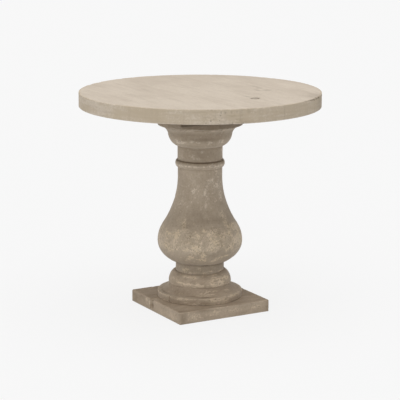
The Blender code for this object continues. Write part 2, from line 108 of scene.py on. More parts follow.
RING_SEAT_RADIUS = RING_RADIUS - RING_ARRIS
FOOT_RADIUS = foot_high.x
FOOT_RIM_HEIGHT = 0.0180
FOOT_FLOOR_BEVEL = 0.0006

# Shape of the curves, as shares of the rise or the reach of each curve
VASE_HANDLE = 0.48
VASE_SHOULDER_HANDLE = 0.177
SHOULDER_HANDLE = 0.30
SHOULDER_BULB_HANDLE = 0.44
SHOULDER_SLOPE = 1.55
BULB_HANDLE = 0.64
BULB_FOOT_HANDLE = 0.18
BOWL_NECK_HANDLE = 0.39
BOWL_BELLY_HANDLE = 0.535
BOWL_FLARE_HANDLE = 0.37
BOWL_LIP_HANDLE = 0.15
BOWL_LIP_SPREAD = 0.50
BOWL_BELLY_LEAN = 0.10
RING_LOWER_HANDLE = 0.50
RING_UPPER_HANDLE = 0.57
COVE_UPPER_HANDLE = 0.55
COVE_LOWER_HANDLE = 0.50

# Levels of the turned profile, from the solids
CAPITAL_BASE = bowl_high.z + SEAT_GAP
LIP_LEVEL = bowl_high.z - BOWL_FILLET_HEIGHT
BELLY_LEVEL = LIP_LEVEL - BOWL_LIP_RISE
COLUMN_TOP = column_high.z
BEAD_TOP = COLUMN_TOP - UPPER_NECK_HEIGHT
BEAD_BOTTOM = BEAD_TOP - BEAD_HEIGHT
VASE_NECK_LEVEL = BEAD_BOTTOM - VASE_NECK_HEIGHT
SHOULDER_LEVEL = VASE_NECK_LEVEL - VASE_RISE
BULB_LEVEL = SHOULDER_LEVEL - SHOULDER_RISE
LOWER_NECK_TOP = BULB_LEVEL - BULB_RISE
RING_TOP = ring_high.z
FOOT_TOP = foot_high.z
FOOT_BASE = plinth_high.z
RIM_TOP = FOOT_BASE + FOOT_RIM_HEIGHT

# Fineness of the turned surfaces; the seam ticks are the first steps away from a joint
TURN_COLUMNS = 288
PROFILE_SPACING = 0.0013
BEAD_POINTS = 14
ARRIS_POINTS = 6
FRONT_DISC_STEPS = 120
BACK_DISC_STEPS = 170
SEAM_FACE_STEPS = 26
SEAM_TICKS = (0.0, 0.0003, 0.0006, 0.001, 0.0016)

# Fineness of the plinth and the top; the edge ticks are the first steps away from a corner
PLINTH_SPACING = 0.0026
EDGE_TICKS = (0.0, 0.0008, 0.0016, 0.0025, 0.0036, 0.0050)
BOARD_COLUMNS = 96
BOARD_TOP_STEPS = 250
BOARD_BASE_STEPS = 60
RIM_STEPS = 22
RIM_ROUND_POINTS = 7

# Limits of the meshes; a board that reaches the tip share of the top's radius ends in a tip
SHARP_ANGLE = math.radians(38.0)
WELD_DISTANCE = 0.000002
SLIVER_SIZE = 0.000001
NEARLY_ZERO = 1e-6
NEAR_AXIS = 0.01
TIP_SHARE = 0.99


# Random fields

CELL_PRIMES = (73856093, 19349663, 83492791)
SEED_PRIME = 2654435761
MIXING_PRIME = 1274126177


def fixed_random(cells, seed):
    """A number from -1 to 1 for each whole-number cell: products with large primes, mixed by bits."""
    along_x, along_y, along_z = (cells[..., axis] * prime for axis, prime in enumerate(CELL_PRIMES))
    mixed = along_x ^ along_y ^ along_z ^ (seed * SEED_PRIME)
    mixed = (mixed ^ (mixed >> 13)) * MIXING_PRIME
    mixed = mixed ^ (mixed >> 16)
    return (mixed & 0xFFFF) / 32767.5 - 1.0


def smooth_noise(points, cell, seed):
    """Random values at the corners of a lattice of cells, blended across each cell by smooth steps."""
    scaled_points = points / np.asarray(cell)
    base = np.floor(scaled_points).astype(np.int64)
    share = scaled_points - base
    share = share * share * (3.0 - 2.0 * share)
    total = np.zeros(points.shape[:-1])
    for corner in np.ndindex(2, 2, 2):
        weight = np.prod(np.where(np.array(corner) == 1, share, 1.0 - share), axis=-1)
        total += weight * fixed_random(base + np.array(corner), seed)
    return total


def layered_noise(points, cell, seed, layers=3):
    """Sum of smooth noises, each with half the cell and half the height of the one before."""
    total = np.zeros(points.shape[:-1])
    for layer in range(layers):
        total += smooth_noise(points, np.asarray(cell) / 2 ** layer, seed + layer) / 2 ** layer
    return total


# Shapes of a field

def soft_step(low, high, values):
    """0 below low and 1 above high, with a smooth cubic between them."""
    share = np.clip((values - low) / (high - low), 0.0, 1.0)
    return share * share * (3.0 - 2.0 * share)


def between(start, end, values):
    """1 between two soft edges, each given by where it begins and is complete, and 0 outside them."""
    return soft_step(*start, values) * (1.0 - soft_step(*end, values))


def greatest(*fields):
    """The greatest of several fields at each point."""
    return functools.reduce(np.maximum, fields)


def unit(values):
    """Values kept from 0 to 1."""
    return np.clip(values, 0.0, 1.0)


# Profiles, as arrays of (radius, height)

def line(start, end):
    """Points along a straight line at the profile spacing, without its first point."""
    start, end = np.array(start), np.array(end)
    count = max(2, math.ceil(np.linalg.norm(end - start) / PROFILE_SPACING) + 1)
    share = np.linspace(0.0, 1.0, count)[1:, None]
    return start + (end - start) * share


def bezier(start, first, second, end):
    """Points of a cubic Bezier curve at about the profile spacing, without its first point."""
    knots = [np.array(knot) for knot in (start, first, second, end)]
    length = sum(np.linalg.norm(b - a) for a, b in zip(knots, knots[1:]))
    t = np.linspace(0.0, 1.0, math.ceil(length / PROFILE_SPACING) + 1)[1:, None]
    s = 1.0 - t
    return s ** 3 * knots[0] + 3 * s * s * t * knots[1] + 3 * s * t * t * knots[2] + t ** 3 * knots[3]


def arc(centre, radius, first_angle, last_angle):
    """Points of a worn arris, a circular arc between two angles in degrees."""
    angles = np.radians(np.linspace(first_angle, last_angle, ARRIS_POINTS))
    return np.stack([centre[0] + radius * np.cos(angles), centre[1] + radius * np.sin(angles)], -1)


def bead_half(neck, first_angle, last_angle):
    """Half of the bead: an ellipse about the bead's middle that starts or ends on the neck."""
    angles = np.radians(np.linspace(first_angle, last_angle, BEAD_POINTS))[1:]
    return np.stack([neck + (BEAD_RADIUS - neck) * np.cos(angles),
                     (BEAD_TOP + BEAD_BOTTOM) / 2 + BEAD_HEIGHT / 2 * np.sin(angles)], -1)


def column_profile():
    """Upper neck, bead, vase, shoulder, bulb and lower neck, top to bottom."""
    slant = math.hypot(1.0, SHOULDER_SLOPE)
    out, rise = -1.0 / slant, SHOULDER_SLOPE / slant
    above, below = VASE_SHOULDER_HANDLE * VASE_RISE, SHOULDER_HANDLE * SHOULDER_RISE
    reach = BULB_RADIUS - LOWER_NECK_RADIUS
    vase_top = (VASE_NECK_RADIUS, VASE_NECK_LEVEL)
    shoulder = (SHOULDER_RADIUS, SHOULDER_LEVEL)
    bulb = (BULB_RADIUS, BULB_LEVEL)
    neck = (LOWER_NECK_RADIUS, LOWER_NECK_TOP)
    return np.concatenate([
        [(UPPER_NECK_RADIUS, COLUMN_TOP)],
        line((UPPER_NECK_RADIUS, COLUMN_TOP), (UPPER_NECK_RADIUS, BEAD_TOP)),
        bead_half(UPPER_NECK_RADIUS, 90.0, 0.0),
        bead_half(VASE_NECK_RADIUS, 0.0, -90.0),
        line((VASE_NECK_RADIUS, BEAD_BOTTOM), vase_top),
        bezier(vase_top, (VASE_NECK_RADIUS, VASE_NECK_LEVEL - VASE_HANDLE * VASE_RISE),
               (SHOULDER_RADIUS + out * above, SHOULDER_LEVEL + rise * above), shoulder),
        bezier(shoulder, (SHOULDER_RADIUS - out * below, SHOULDER_LEVEL - rise * below),
               (BULB_RADIUS, BULB_LEVEL + SHOULDER_BULB_HANDLE * SHOULDER_RISE), bulb),
        bezier(bulb, (BULB_RADIUS, BULB_LEVEL - BULB_HANDLE * BULB_RISE),
               (LOWER_NECK_RADIUS + BULB_FOOT_HANDLE * reach, LOWER_NECK_TOP), neck),
        line(neck, (LOWER_NECK_RADIUS, column_low.z + SPIGOT_LENGTH)),
    ])


def bowl_profile():
    """Fillet, flared lip and round belly of the bowl, top to bottom."""
    base = bowl_low.z + SPIGOT_LENGTH
    reach = BOWL_BELLY_RADIUS - UPPER_NECK_RADIUS
    flare = BOWL_LIP_RADIUS - BOWL_BELLY_RADIUS
    lean, drop = BOWL_FLARE_HANDLE * BOWL_LIP_RISE, BOWL_BELLY_HANDLE * BOWL_BELLY_RISE
    lip, belly = (BOWL_LIP_RADIUS, LIP_LEVEL), (BOWL_BELLY_RADIUS, BELLY_LEVEL)
    return np.concatenate([
        [(BOWL_LIP_RADIUS, bowl_high.z)],
        line((BOWL_LIP_RADIUS, bowl_high.z), lip),
        bezier(lip, (BOWL_LIP_RADIUS - BOWL_LIP_SPREAD * flare,
                     LIP_LEVEL - BOWL_LIP_HANDLE * BOWL_LIP_RISE),
               (BOWL_BELLY_RADIUS + BOWL_BELLY_LEAN * lean, BELLY_LEVEL + lean), belly),
        bezier(belly, (BOWL_BELLY_RADIUS - BOWL_BELLY_LEAN * drop, BELLY_LEVEL - drop),
               (UPPER_NECK_RADIUS + BOWL_NECK_HANDLE * reach, base), (UPPER_NECK_RADIUS, base)),
    ])


def ring_profile():
    """Half-round ring with a worn lower arris, top to bottom."""
    base = ring_low.z + SPIGOT_LENGTH
    arris = base + RING_ARRIS
    reach = RING_RADIUS - LOWER_NECK_RADIUS
    start = (LOWER_NECK_RADIUS, RING_TOP)
    return np.concatenate([
        [start],
        bezier(start, (LOWER_NECK_RADIUS + RING_UPPER_HANDLE * reach, RING_TOP),
               (RING_RADIUS, arris + RING_LOWER_HANDLE * (RING_TOP - arris)), (RING_RADIUS, arris)),
        arc((RING_SEAT_RADIUS, arris), RING_ARRIS, 0.0, -90.0)[1:],
    ])


def foot_profile():
    """Seat for the ring, hollow cove and upright rim of the foot disc, top to bottom."""
    inner = FOOT_RADIUS - EDGE_ROUND
    seat = (RING_SEAT_RADIUS, FOOT_TOP)
    return np.concatenate([
        [seat],
        bezier(seat, (RING_SEAT_RADIUS, FOOT_TOP - COVE_UPPER_HANDLE * (FOOT_TOP - RIM_TOP)),
               (inner - COVE_LOWER_HANDLE * (inner - RING_SEAT_RADIUS), RIM_TOP), (inner, RIM_TOP)),
        arc((inner, RIM_TOP - EDGE_ROUND), EDGE_ROUND, 90.0, 0.0)[1:],
        line((FOOT_RADIUS, RIM_TOP - EDGE_ROUND), (FOOT_RADIUS, foot_low.z + FOOT_FLOOR_BEVEL)),
        [(FOOT_RADIUS - FOOT_FLOOR_BEVEL, foot_low.z)],
    ])


def capital_profile():
    """Flat disc with a worn rim, top to bottom."""
    inner = CAPITAL_RADIUS - EDGE_ROUND
    return np.concatenate([
        arc((inner, capital_high.z - EDGE_ROUND), EDGE_ROUND, 90.0, 0.0),
        line((CAPITAL_RADIUS, capital_high.z - EDGE_ROUND),
             (CAPITAL_RADIUS, CAPITAL_BASE + EDGE_ROUND)),
        arc((inner, CAPITAL_BASE + EDGE_ROUND), EDGE_ROUND, 0.0, -90.0)[1:],
    ])


# Meshes from whole arrays

def grid_quads(rows, columns, close_rows, close_columns):
    """Corner numbers of the quads of a rows by columns grid, joined end to start where closed."""
    i = np.arange(rows if close_rows else rows - 1)[:, None]
    j = np.arange(columns if close_columns else columns - 1)[None, :]
    below, beside = (i + 1) % rows, (j + 1) % columns
    corners = (i * columns + j, below * columns + j, below * columns + beside, i * columns + beside)
    return np.stack(corners, -1).reshape(-1, 4)


def pad_marks(marks, rows, columns):
    """Marks carried on over so many more rows and columns, where there is no wear."""
    return {key: np.pad(values, ((0, rows), (0, columns))) for key, values in marks.items()}


def make_piece(name, points, quads, caps, marks, finish, weld=False):
    """Put points, quads, flat end faces and per-point marks into a mesh that replaces its solid."""
    corners = np.concatenate([quads.ravel(), *caps]).astype(np.int32)
    sizes = np.array([4] * len(quads) + [len(cap) for cap in caps])
    starts = np.concatenate([[0], np.cumsum(sizes)[:-1]]).astype(np.int32)
    mesh = bpy.data.meshes.new(name)
    mesh.vertices.add(len(points))
    mesh.vertices.foreach_set("co", points.astype(np.float32).ravel())
    mesh.loops.add(len(corners))
    mesh.loops.foreach_set("vertex_index", corners)
    mesh.polygons.add(len(sizes))
    mesh.polygons.foreach_set("loop_start", starts)
    mesh.update(calc_edges=True)
    mesh.validate()
    for mark, values in marks.items():
        layer = mesh.attributes.new(mark, "FLOAT", "POINT")
        layer.data.foreach_set("value", values.astype(np.float32).ravel())
    if weld:
        shape = bmesh.new()
        shape.from_mesh(mesh)
        bmesh.ops.remove_doubles(shape, verts=shape.verts, dist=WELD_DISTANCE)
        bmesh.ops.dissolve_degenerate(shape, edges=shape.edges, dist=SLIVER_SIZE)
        shape.to_mesh(mesh)
        shape.free()
    mesh.shade_smooth()
    mesh.set_sharp_from_angle(angle=SHARP_ANGLE)
    mesh.materials.append(finish.material)
    piece = bpy.data.objects.new(f"{name}_worn", mesh)
    bpy.context.scene.collection.objects.link(piece)
    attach(piece, BODY)
    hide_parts(name)


# Wear that the surfaces carry as marks: pale is where the lime shows, and in a few places painted
# light; dark is where dirt stays, and where shade is painted

BAND_START_EDGE = 1.5
BAND_END_EDGE = 15.0
BAND_LOW_EDGE = 0.0008
BELT_WANDER = 0.011
BELT_CELL = (0.030, 0.030, 0.045)
BELT_LOW_EDGE = 0.008
BELT_HIGH_EDGE = 0.004
BEND_POINTS = 5
BEND_SPREAD = 2.2
FULL_BEND = 0.18
BREAK_CELL = 0.014
STAIN_CELL = 0.040


def patch_marks(angles, heights, table):
    """Greatest of a set of soft spots, each given by angle, height, half sizes and strength."""
    total = np.zeros(np.broadcast(angles, heights).shape)
    for angle, height, half_angle, half_height, strength in table:
        turn = (np.degrees(angles) - angle + 180.0) % 360.0 - 180.0
        spot = np.exp(-(turn / half_angle) ** 2 - ((heights - height) / half_height) ** 2)
        total = np.maximum(total, strength * spot)
    return total


def band_marks(angles, heights, table):
    """Greatest of a set of even bands, each between two angles and above a height, with soft edges."""
    total = np.zeros(np.broadcast(angles, heights).shape)
    for first, last, low, strength in table:
        along = between((first - BAND_START_EDGE, first + BAND_START_EDGE),
                        (last - BAND_END_EDGE, last + BAND_END_EDGE), np.degrees(angles))
        above = soft_step(low - BAND_LOW_EDGE, low + BAND_LOW_EDGE, heights)
        total = np.maximum(total, strength * along * above)
    return total


def belt_marks(points, table, seed):
    """Greatest of a set of belts between two heights, whose edges wander with a slow noise."""
    wander = points[..., 2] + BELT_WANDER * layered_noise(points, BELT_CELL, seed)
    total = np.zeros(points.shape[:-1])
    for low, high, strength in table:
        belt = between((low - BELT_LOW_EDGE, low + BELT_LOW_EDGE), (high - BELT_HIGH_EDGE, high), wander)
        total = np.maximum(total, strength * belt)
    return total


def place_marks(points, table):
    """Greatest of a set of soft spots, each given by place, half width, half height and strength."""
    total = np.zeros(points.shape[:-1])
    for x, y, z, wide, tall, strength in table:
        gap = np.abs(points - np.array([x, y, z])) / np.array([wide, wide, tall])
        total = np.maximum(total, strength * np.exp(-np.sum(gap ** 2, -1)))
    return total


def profile_bends(profile):
    """Hollows and crests of a profile: the sine of its turn at each point, spread over neighbours."""
    steps = np.diff(profile, axis=0)
    steps = steps / np.linalg.norm(steps, axis=1, keepdims=True)
    turn = np.pad(steps[:-1, 0] * steps[1:, 1] - steps[:-1, 1] * steps[1:, 0], 1)
    spread = np.exp(-(np.arange(-BEND_POINTS, BEND_POINTS + 1) / BEND_SPREAD) ** 2)
    spread = spread / spread.sum()
    hollow = np.convolve(np.clip(turn, 0.0, None), spread, "same")
    crest = np.convolve(np.clip(-turn, 0.0, None), spread, "same")
    return unit(hollow / FULL_BEND), unit(crest / FULL_BEND)


def turned_marks(points, angles, bends, wear, seed):
    """Pale and dark marks of a turned surface, from its bends, its ends and its placed wear."""
    hollow, crest = (bend[:, None] for bend in bends)
    heights = points[..., 2]
    smear = layered_noise(points, wear["smear"], seed + 40, 4)
    broken = unit(0.60 + 0.60 * layered_noise(points, BREAK_CELL, seed + 50))
    ragged = np.clip(0.85 + 0.55 * smear, 0.0, 1.3)
    pale = greatest(belt_marks(points, wear.get("belts", ()), seed + 60), 0.80 * crest * broken,
                    patch_marks(angles, heights, wear.get("pale", ())) * ragged)
    stains = soft_step(0.45, 1.15, layered_noise(points, STAIN_CELL, seed + 70))
    # The dark in the hollows of the profile is painted shade; the stains are dirt
    dark = greatest(0.30 * hollow, patch_marks(angles, heights, wear["dark"]),
                    band_marks(angles, heights, wear.get("shaded", ())), 0.22 * stains)
    # Dark at the ends, where a piece meets the next, is painted shade as well as dirt
    for end, reach, strength in wear.get("ends", ()):
        dark = np.maximum(dark, strength * np.exp(-np.abs(heights - end) / reach))
    return {"pale": unit(pale + 0.28 * smear), "dark": unit(dark)}


# Turned pieces

WAVE_HEIGHT, WAVE_CELL = 0.00030, 0.055
RIDGE_HEIGHT, RIDGE_CELL = 0.00010, (0.007, 0.007, 0.040)
PIT_DEPTH, PIT_CELL = 0.00075, 0.0060
SCAR_DEPTH, SCAR_CELL = 0.00060, (0.020, 0.020, 0.012)


def turned_relief(points, seed):
    """How far a turned surface stands off its profile: slow waves, fine ridges, small pits and scars."""
    waves = WAVE_HEIGHT * smooth_noise(points, WAVE_CELL, seed)
    ridges = RIDGE_HEIGHT * layered_noise(points, RIDGE_CELL, seed + 10)
    pits = PIT_DEPTH * soft_step(0.42, 0.85, smooth_noise(points, PIT_CELL, seed + 20))
    scars = SCAR_DEPTH * soft_step(0.35, 0.80, layered_noise(points, SCAR_CELL, seed + 30))
    return waves + ridges - pits - scars


def profile_normals(profile):
    """Outward unit normals of a profile given top to bottom: its tangents turned a quarter."""
    tangents = np.gradient(profile, axis=0)
    normals = np.stack([-tangents[:, 1], tangents[:, 0]], -1)
    return normals / np.linalg.norm(normals, axis=1, keepdims=True)


def turned_points(outline, angles):
    """An outline of (radius, height) carried round Z: radius times cosine and sine of the angles."""
    x, y = outline[:, :1] * np.cos(angles), outline[:, :1] * np.sin(angles)
    return np.stack([x, y, np.broadcast_to(outline[:, 1:], x.shape)], -1)


def core_outline(top, bottom, socket=True, spigot=True):
    """Bore, socket and spigot that close a turned profile, bottom to top, as (radius, height)."""
    outline = []
    if spigot:
        end = bottom - SPIGOT_LENGTH
        outline += [(SPIGOT_RADIUS, bottom), (SPIGOT_RADIUS, end), (BORE_RADIUS, end)]
    else:
        outline += [(BORE_RADIUS, bottom)]
    if socket:
        floor = top - SOCKET_DEPTH
        outline += [(BORE_RADIUS, floor), (SOCKET_RADIUS, floor), (SOCKET_RADIUS, top)]
    else:
        outline += [(BORE_RADIUS, top)]
    return np.array(outline)


def make_turned(name, profile, finish, wear, seed):
    """A profile carried round Z and moved along its normals by its relief, closed by its core."""
    angles = np.linspace(-math.pi, math.pi, TURN_COLUMNS, endpoint=False)
    core = core_outline(profile[0, 1], profile[-1, 1])
    skin = turned_points(profile, angles)
    marks = turned_marks(skin, angles, profile_bends(profile), wear, seed)
    normals = turned_points(profile_normals(profile), angles)
    skin = skin + normals * turned_relief(skin, seed)[..., None]
    points = np.concatenate([skin, turned_points(core, angles)])
    quads = grid_quads(len(points), TURN_COLUMNS, True, True)
    make_piece(name, points.reshape(-1, 3), quads, [], pad_marks(marks, len(core), 0), finish)


# Boards that are closed loops, stacked from the top face down to the underside

# How far inside a disc's rim its dirt begins and is complete, how near a joint the relief fades, and
# the width of the groove there as a share of the dirt's reach
DISC_RIM = (0.0100, 0.0010)
SEAM_CALM = 0.003
GROOVE_SHARE = 0.7


def ring_of(radius, height, directions):
    """A circle about the axis, with one point in each given plan direction."""
    return np.concatenate([radius * directions, np.full((len(directions), 1), height)], -1)


def make_stacked(name, loops, core, marks, finish):
    """Loops joined level by level: closed through a core about the axis, or by two flat faces."""
    levels, count = loops.shape[:2]
    points, caps = loops, []
    if core is None:
        first = np.arange(count)
        caps = [first, (levels - 1) * count + first[::-1]]
    else:
        plan = loops[-1, :, :2]
        directions = plan / np.linalg.norm(plan, axis=1, keepdims=True)
        inner = np.stack([ring_of(radius, height, directions) for radius, height in core])
        points = np.concatenate([loops, inner])
        marks = pad_marks(marks, len(core), 0)
    quads = grid_quads(len(points), count, core is not None, True)
    make_piece(name, points.reshape(-1, 3), quads, caps, marks, finish)


def end_ticks(count, fine):
    """Shares from 0 to 1 with extra steps at both ends."""
    middle = np.linspace(fine[-1], 1.0 - fine[-1], count)[1:-1]
    return np.concatenate([fine, middle, 1.0 - np.array(fine)[::-1]])


def make_disc_board(name, profile, front, core, finish, wear, seed):
    """One side of a turned disc: arcs between the ends of a chord, and the chord itself."""
    chord = DISC_SEAM + (-SEAT_GAP if front else SEAT_GAP) / 2
    radius = profile[:, :1]
    lean = np.arcsin(-chord / radius)
    first, last = (lean - math.pi, -lean) if front else (-lean, lean + math.pi)
    steps = FRONT_DISC_STEPS if front else BACK_DISC_STEPS
    angles = first + (last - first) * end_ticks(steps, np.array(SEAM_TICKS) / (FOOT_RADIUS * math.pi))
    skin = turned_points(profile, angles)
    outward = turned_points(profile_normals(profile), angles)
    marks = turned_marks(skin, angles, profile_bends(profile), wear, seed)
    from_seam = np.abs(skin[..., 1] - chord)
    on_rim = soft_step(*(FOOT_RADIUS - inset for inset in DISC_RIM), radius)
    joint, reach = wear["joint"]
    marks["dark"] = np.maximum(marks["dark"], joint * on_rim * np.exp(-from_seam / reach))
    relief = turned_relief(skin, seed) * soft_step(0.0, SEAM_CALM, from_seam)
    skin = skin + outward * relief[..., None]
    width = GROOVE_SHARE * reach
    groove = width * (0.2 + 0.8 * on_rim) * unit(1.0 - from_seam / width)
    skin[..., 0] -= np.sign(skin[..., 0]) * groove
    across = np.linspace(0.0, 1.0, SEAM_FACE_STEPS)[1:-1, None]
    seam_face = skin[:, None, -1] + (skin[:, None, 0] - skin[:, None, -1]) * across
    loops = np.concatenate([skin, seam_face], 1)
    make_stacked(name, loops, core, pad_marks(marks, 0, seam_face.shape[1]), finish)


# Plinth

PLINTH_GRAIN_DEPTH, PLINTH_GRAIN_CELL = 0.00012, (0.050, 0.006, 0.0035)
PLINTH_PIT_DEPTH, PLINTH_PIT_CELL = 0.0006, 0.0055
PLINTH_EDGE_WEAR, PLINTH_EDGE_CHIP, PLINTH_CHIP_CELL = 0.0005, 0.0016, 0.013
PLINTH_SEAM_CALM, PLINTH_FLOOR_CALM = 0.004, 0.002
PLINTH_SMEAR_CELL = (0.026, 0.026, 0.014)
PLINTH_DUST_CELL = (0.050, 0.014, 1.0)
PLINTH_DUST_DROP = 0.002
FOOT_SHADOW_REACH = 0.0080
PLINTH_JOINT_REACH = 0.0010
CHIP_DIRT_SPREAD = 0.85


def plinth_loops(low, high, front):
    """Loops on a sharp box, out over its top face, down its sides and in under its underside.

    Each is the plan, side by side and anticlockwise, drawn in by a share towards a small circle.
    """
    top = high[2]
    corners = np.array([(low[0], low[1]), (high[0], low[1]), (high[0], high[1]), (low[0], high[1])])
    sides = []
    for start, end in zip(corners, np.roll(corners, -1, axis=0)):
        span = np.linalg.norm(end - start)
        ticks = end_ticks(int(span / PLINTH_SPACING), np.array(EDGE_TICKS) / span)[:-1, None]
        sides.append(start + (end - start) * ticks)
    middle = np.zeros(2) if front else (low[:2] + high[:2]) / 2
    plan = np.concatenate(sides) - middle
    circle = plan / np.linalg.norm(plan, axis=1, keepdims=True) * BORE_RADIUS
    out = np.concatenate([np.linspace(0.0, 0.965, 34), [0.975, 0.982, 0.987, 0.991, 0.994, 0.997, 1.0]])
    down = np.concatenate([[0.0006, 0.0012, 0.0018, 0.0026], np.linspace(0.0040, top - 0.0030, 17),
                           [top - 0.0014, top - 0.0007, top]])
    back = np.array([0.997, 0.993, 0.985, 0.96, 0.90, 0.80, 0.65, 0.50])
    if front:
        # One loop more, next to the recess of the lower nut
        back = np.append(back, 0.35)
    share = np.concatenate([out, np.ones(len(down)), back])
    level = np.concatenate([np.full(len(out), top), top - down, np.zeros(len(back))])
    flat = middle + circle + share[:, None, None] * (plan - circle)
    return np.concatenate([flat, np.broadcast_to(level[:, None, None], (*flat.shape[:2], 1))], -1)


def round_box(points, low, high, low_round, high_round):
    """Points of a box moved out from an inner box by the radii of its edges, with their directions."""
    inner = np.clip(points, low + low_round, high - high_round)
    away = points - inner
    radii = np.where(away < 0.0, low_round, high_round)
    ratio = away / np.maximum(radii, NEARLY_ZERO)
    facing = ratio / np.maximum(np.linalg.norm(ratio, axis=-1, keepdims=True), NEARLY_ZERO)
    return inner + radii * facing, facing


def chip_balls(points, spread):
    """The depth of each chip, and a soft ball at its place, as wide as its size times the spread."""
    for x, y, z, size, deep in PLINTH_CHIPS:
        gap = np.linalg.norm(points - np.array([x, y, z]), axis=-1)
        yield deep, np.exp(-(gap / (spread * size)) ** 2)


def plinth_depth(skin, edge, nibbled, seam, seed):
    """How deep the plinth is worn: grain, pits, edges and chips, none at its joint or underneath."""
    grain = layered_noise(skin, PLINTH_GRAIN_CELL, seed + 1)
    pits = soft_step(0.45, 0.85, smooth_noise(skin, PLINTH_PIT_CELL, seed + 2))
    depth = (PLINTH_GRAIN_DEPTH * (1.0 + grain) + PLINTH_PIT_DEPTH * pits
             + edge * (PLINTH_EDGE_WEAR + PLINTH_EDGE_CHIP * nibbled))
    for deep, ball in chip_balls(skin, 1.0):
        depth = depth + deep * ball
    open_air = (soft_step(0.0, PLINTH_SEAM_CALM, np.abs(skin[..., 1] - seam))
                * soft_step(0.0, PLINTH_FLOOR_CALM, skin[..., 2]))
    return depth * open_air


def plinth_marks(skin, edge, nibbled, from_axis, seam, seed):
    """Lime on the plinth's edges and sides; dust on its top, painted shadow beside the foot, and dirt in
    the joint.
    """
    smear = layered_noise(skin, PLINTH_SMEAR_CELL, seed + 4)
    pale = np.maximum(0.28 * edge * unit(0.5 + nibbled) + 0.30 * smear, place_marks(skin, PLINTH_PATCHES))
    # Painted shadow of the foot on the plinth's top, fading away from the foot's rim
    painted_foot_shadow = np.exp(-np.clip(from_axis - FOOT_RADIUS, 0.0, None) / FOOT_SHADOW_REACH)
    on_top = soft_step(plinth_high.z - PLINTH_DUST_DROP, plinth_high.z, skin[..., 2])
    dusty = 0.52 + 0.22 * layered_noise(skin, PLINTH_DUST_CELL, seed + 5)
    dark = greatest(np.maximum(dusty, 0.62 * painted_foot_shadow) * on_top,
                    0.8 * np.exp(-np.abs(skin[..., 1] - seam) / PLINTH_JOINT_REACH),
                    place_marks(skin, PLINTH_STAINS),
                    *(1.40 * ball for _, ball in chip_balls(skin, CHIP_DIRT_SPREAD)))
    return {"pale": unit(pale), "dark": unit(dark)}


def make_plinth_board(name, front, finish, seed):
    """Half of a box, with its edges rounded by their radii and its surface worn inwards."""
    half, top = plinth_high.x, plinth_high.z
    seam = PLINTH_SEAM + (-SEAT_GAP if front else SEAT_GAP) / 2
    near_round = PLINTH_ROUND if front else PLINTH_SEAM_ROUND
    far_round = PLINTH_SEAM_ROUND if front else PLINTH_ROUND
    low = np.array([-half, -half if front else seam, 0.0])
    high = np.array([half, seam if front else half, top])
    skin, facing = round_box(plinth_loops(low, high, front), low, high,
                             np.array([PLINTH_ROUND, near_round, PLINTH_FLOOR_ROUND]),
                             np.array([PLINTH_ROUND, far_round, PLINTH_ROUND]))
    edge = unit((1.0 - np.abs(facing).max(-1)) * 3.0)
    nibbled = soft_step(0.15, 0.75, layered_noise(skin, PLINTH_CHIP_CELL, seed + 3))
    from_axis = np.linalg.norm(skin[..., :2], axis=-1)
    skin = skin - facing * plinth_depth(skin, edge, nibbled, seam, seed)[..., None]
    marks = plinth_marks(skin, edge, nibbled, from_axis, seam, seed)
    core = None
    if front:
        core = [(RECESS_RADIUS, 0.0), (RECESS_RADIUS, RECESS_DEPTH), (BORE_RADIUS, RECESS_DEPTH),
                (BORE_RADIUS, top)]
    make_stacked(name, skin, core, marks, finish)


# Boards of the round top

TOP_WAVE_DEPTH, TOP_WAVE_CELL = 0.00016, (0.050, 0.110, 1.0)
TOP_GRAIN_DEPTH, TOP_GRAIN_CELL = 0.00007, (0.0045, 0.090, 1.0)
TOP_SEAM_DEPTH, TOP_SEAM_REACH, TOP_SEAM_DIRT_REACH = 0.00012, 0.0008, 0.0007
KNOT_DEPTH = 0.0005
SAW_DEPTH, SAW_CELL = 0.00022, (0.018, 0.018, 0.0045)
ARRIS_WEAR, ARRIS_NICK, NICK_CELL = 0.0001, 0.0006, 0.016

# How far inside the rim its wear and its tone begin and are complete, the same below the top face for
# the face's wear, and how far above the underside the rubbed lower arris ends
RIM_WEAR = (0.0045, 0.0015)
RIM_TONE = (0.0052, 0.0030)
FACE_WEAR = (0.0045, 0.0005)
LOW_ARRIS = (0.0012, 0.0040)

# Cells of the noises in the top's marks
KNOT_CELL = 0.009
FLECK_CELL = 0.006
SCORE_CELL = (0.022, 0.022, 0.0050)
STREAK_CELL = (0.070, 0.070, 0.0045)
SCRATCH_CELL = (0.006, 0.006, 1.0)
SHALLOW_CELL = 0.010
FACE_CLOUD_CELL = (0.055, 0.150, 1.0)
FACE_STREAK_CELL = (0.009, 0.060, 1.0)
SAW_LINE_CELL = (0.055, 0.055, 0.005)
END_GRAIN_CELL = (0.030, 0.030, 1.0)

# The scratched stretch of the rim and the split of the arris, by their bearings in degrees
SCRATCHED_FROM, SCRATCHED_TO = (-122.0, -114.0), (-100.0, -90.0)
SPLIT_FROM, SPLIT_TO = (-70.0, -60.0), (-46.5, -44.0)
SPLIT_DIPS, SPLIT_DIP = (-60.0, -54.0), 0.0022
SPLIT_WIDENS, SPLIT_WIDTH, SPLIT_GROWTH = (-60.0, -49.0), 0.0026, 0.0022
SPLIT_RAGGED, SPLIT_CELL, SPLIT_DEPTH = 0.0012, 0.007, 0.0012


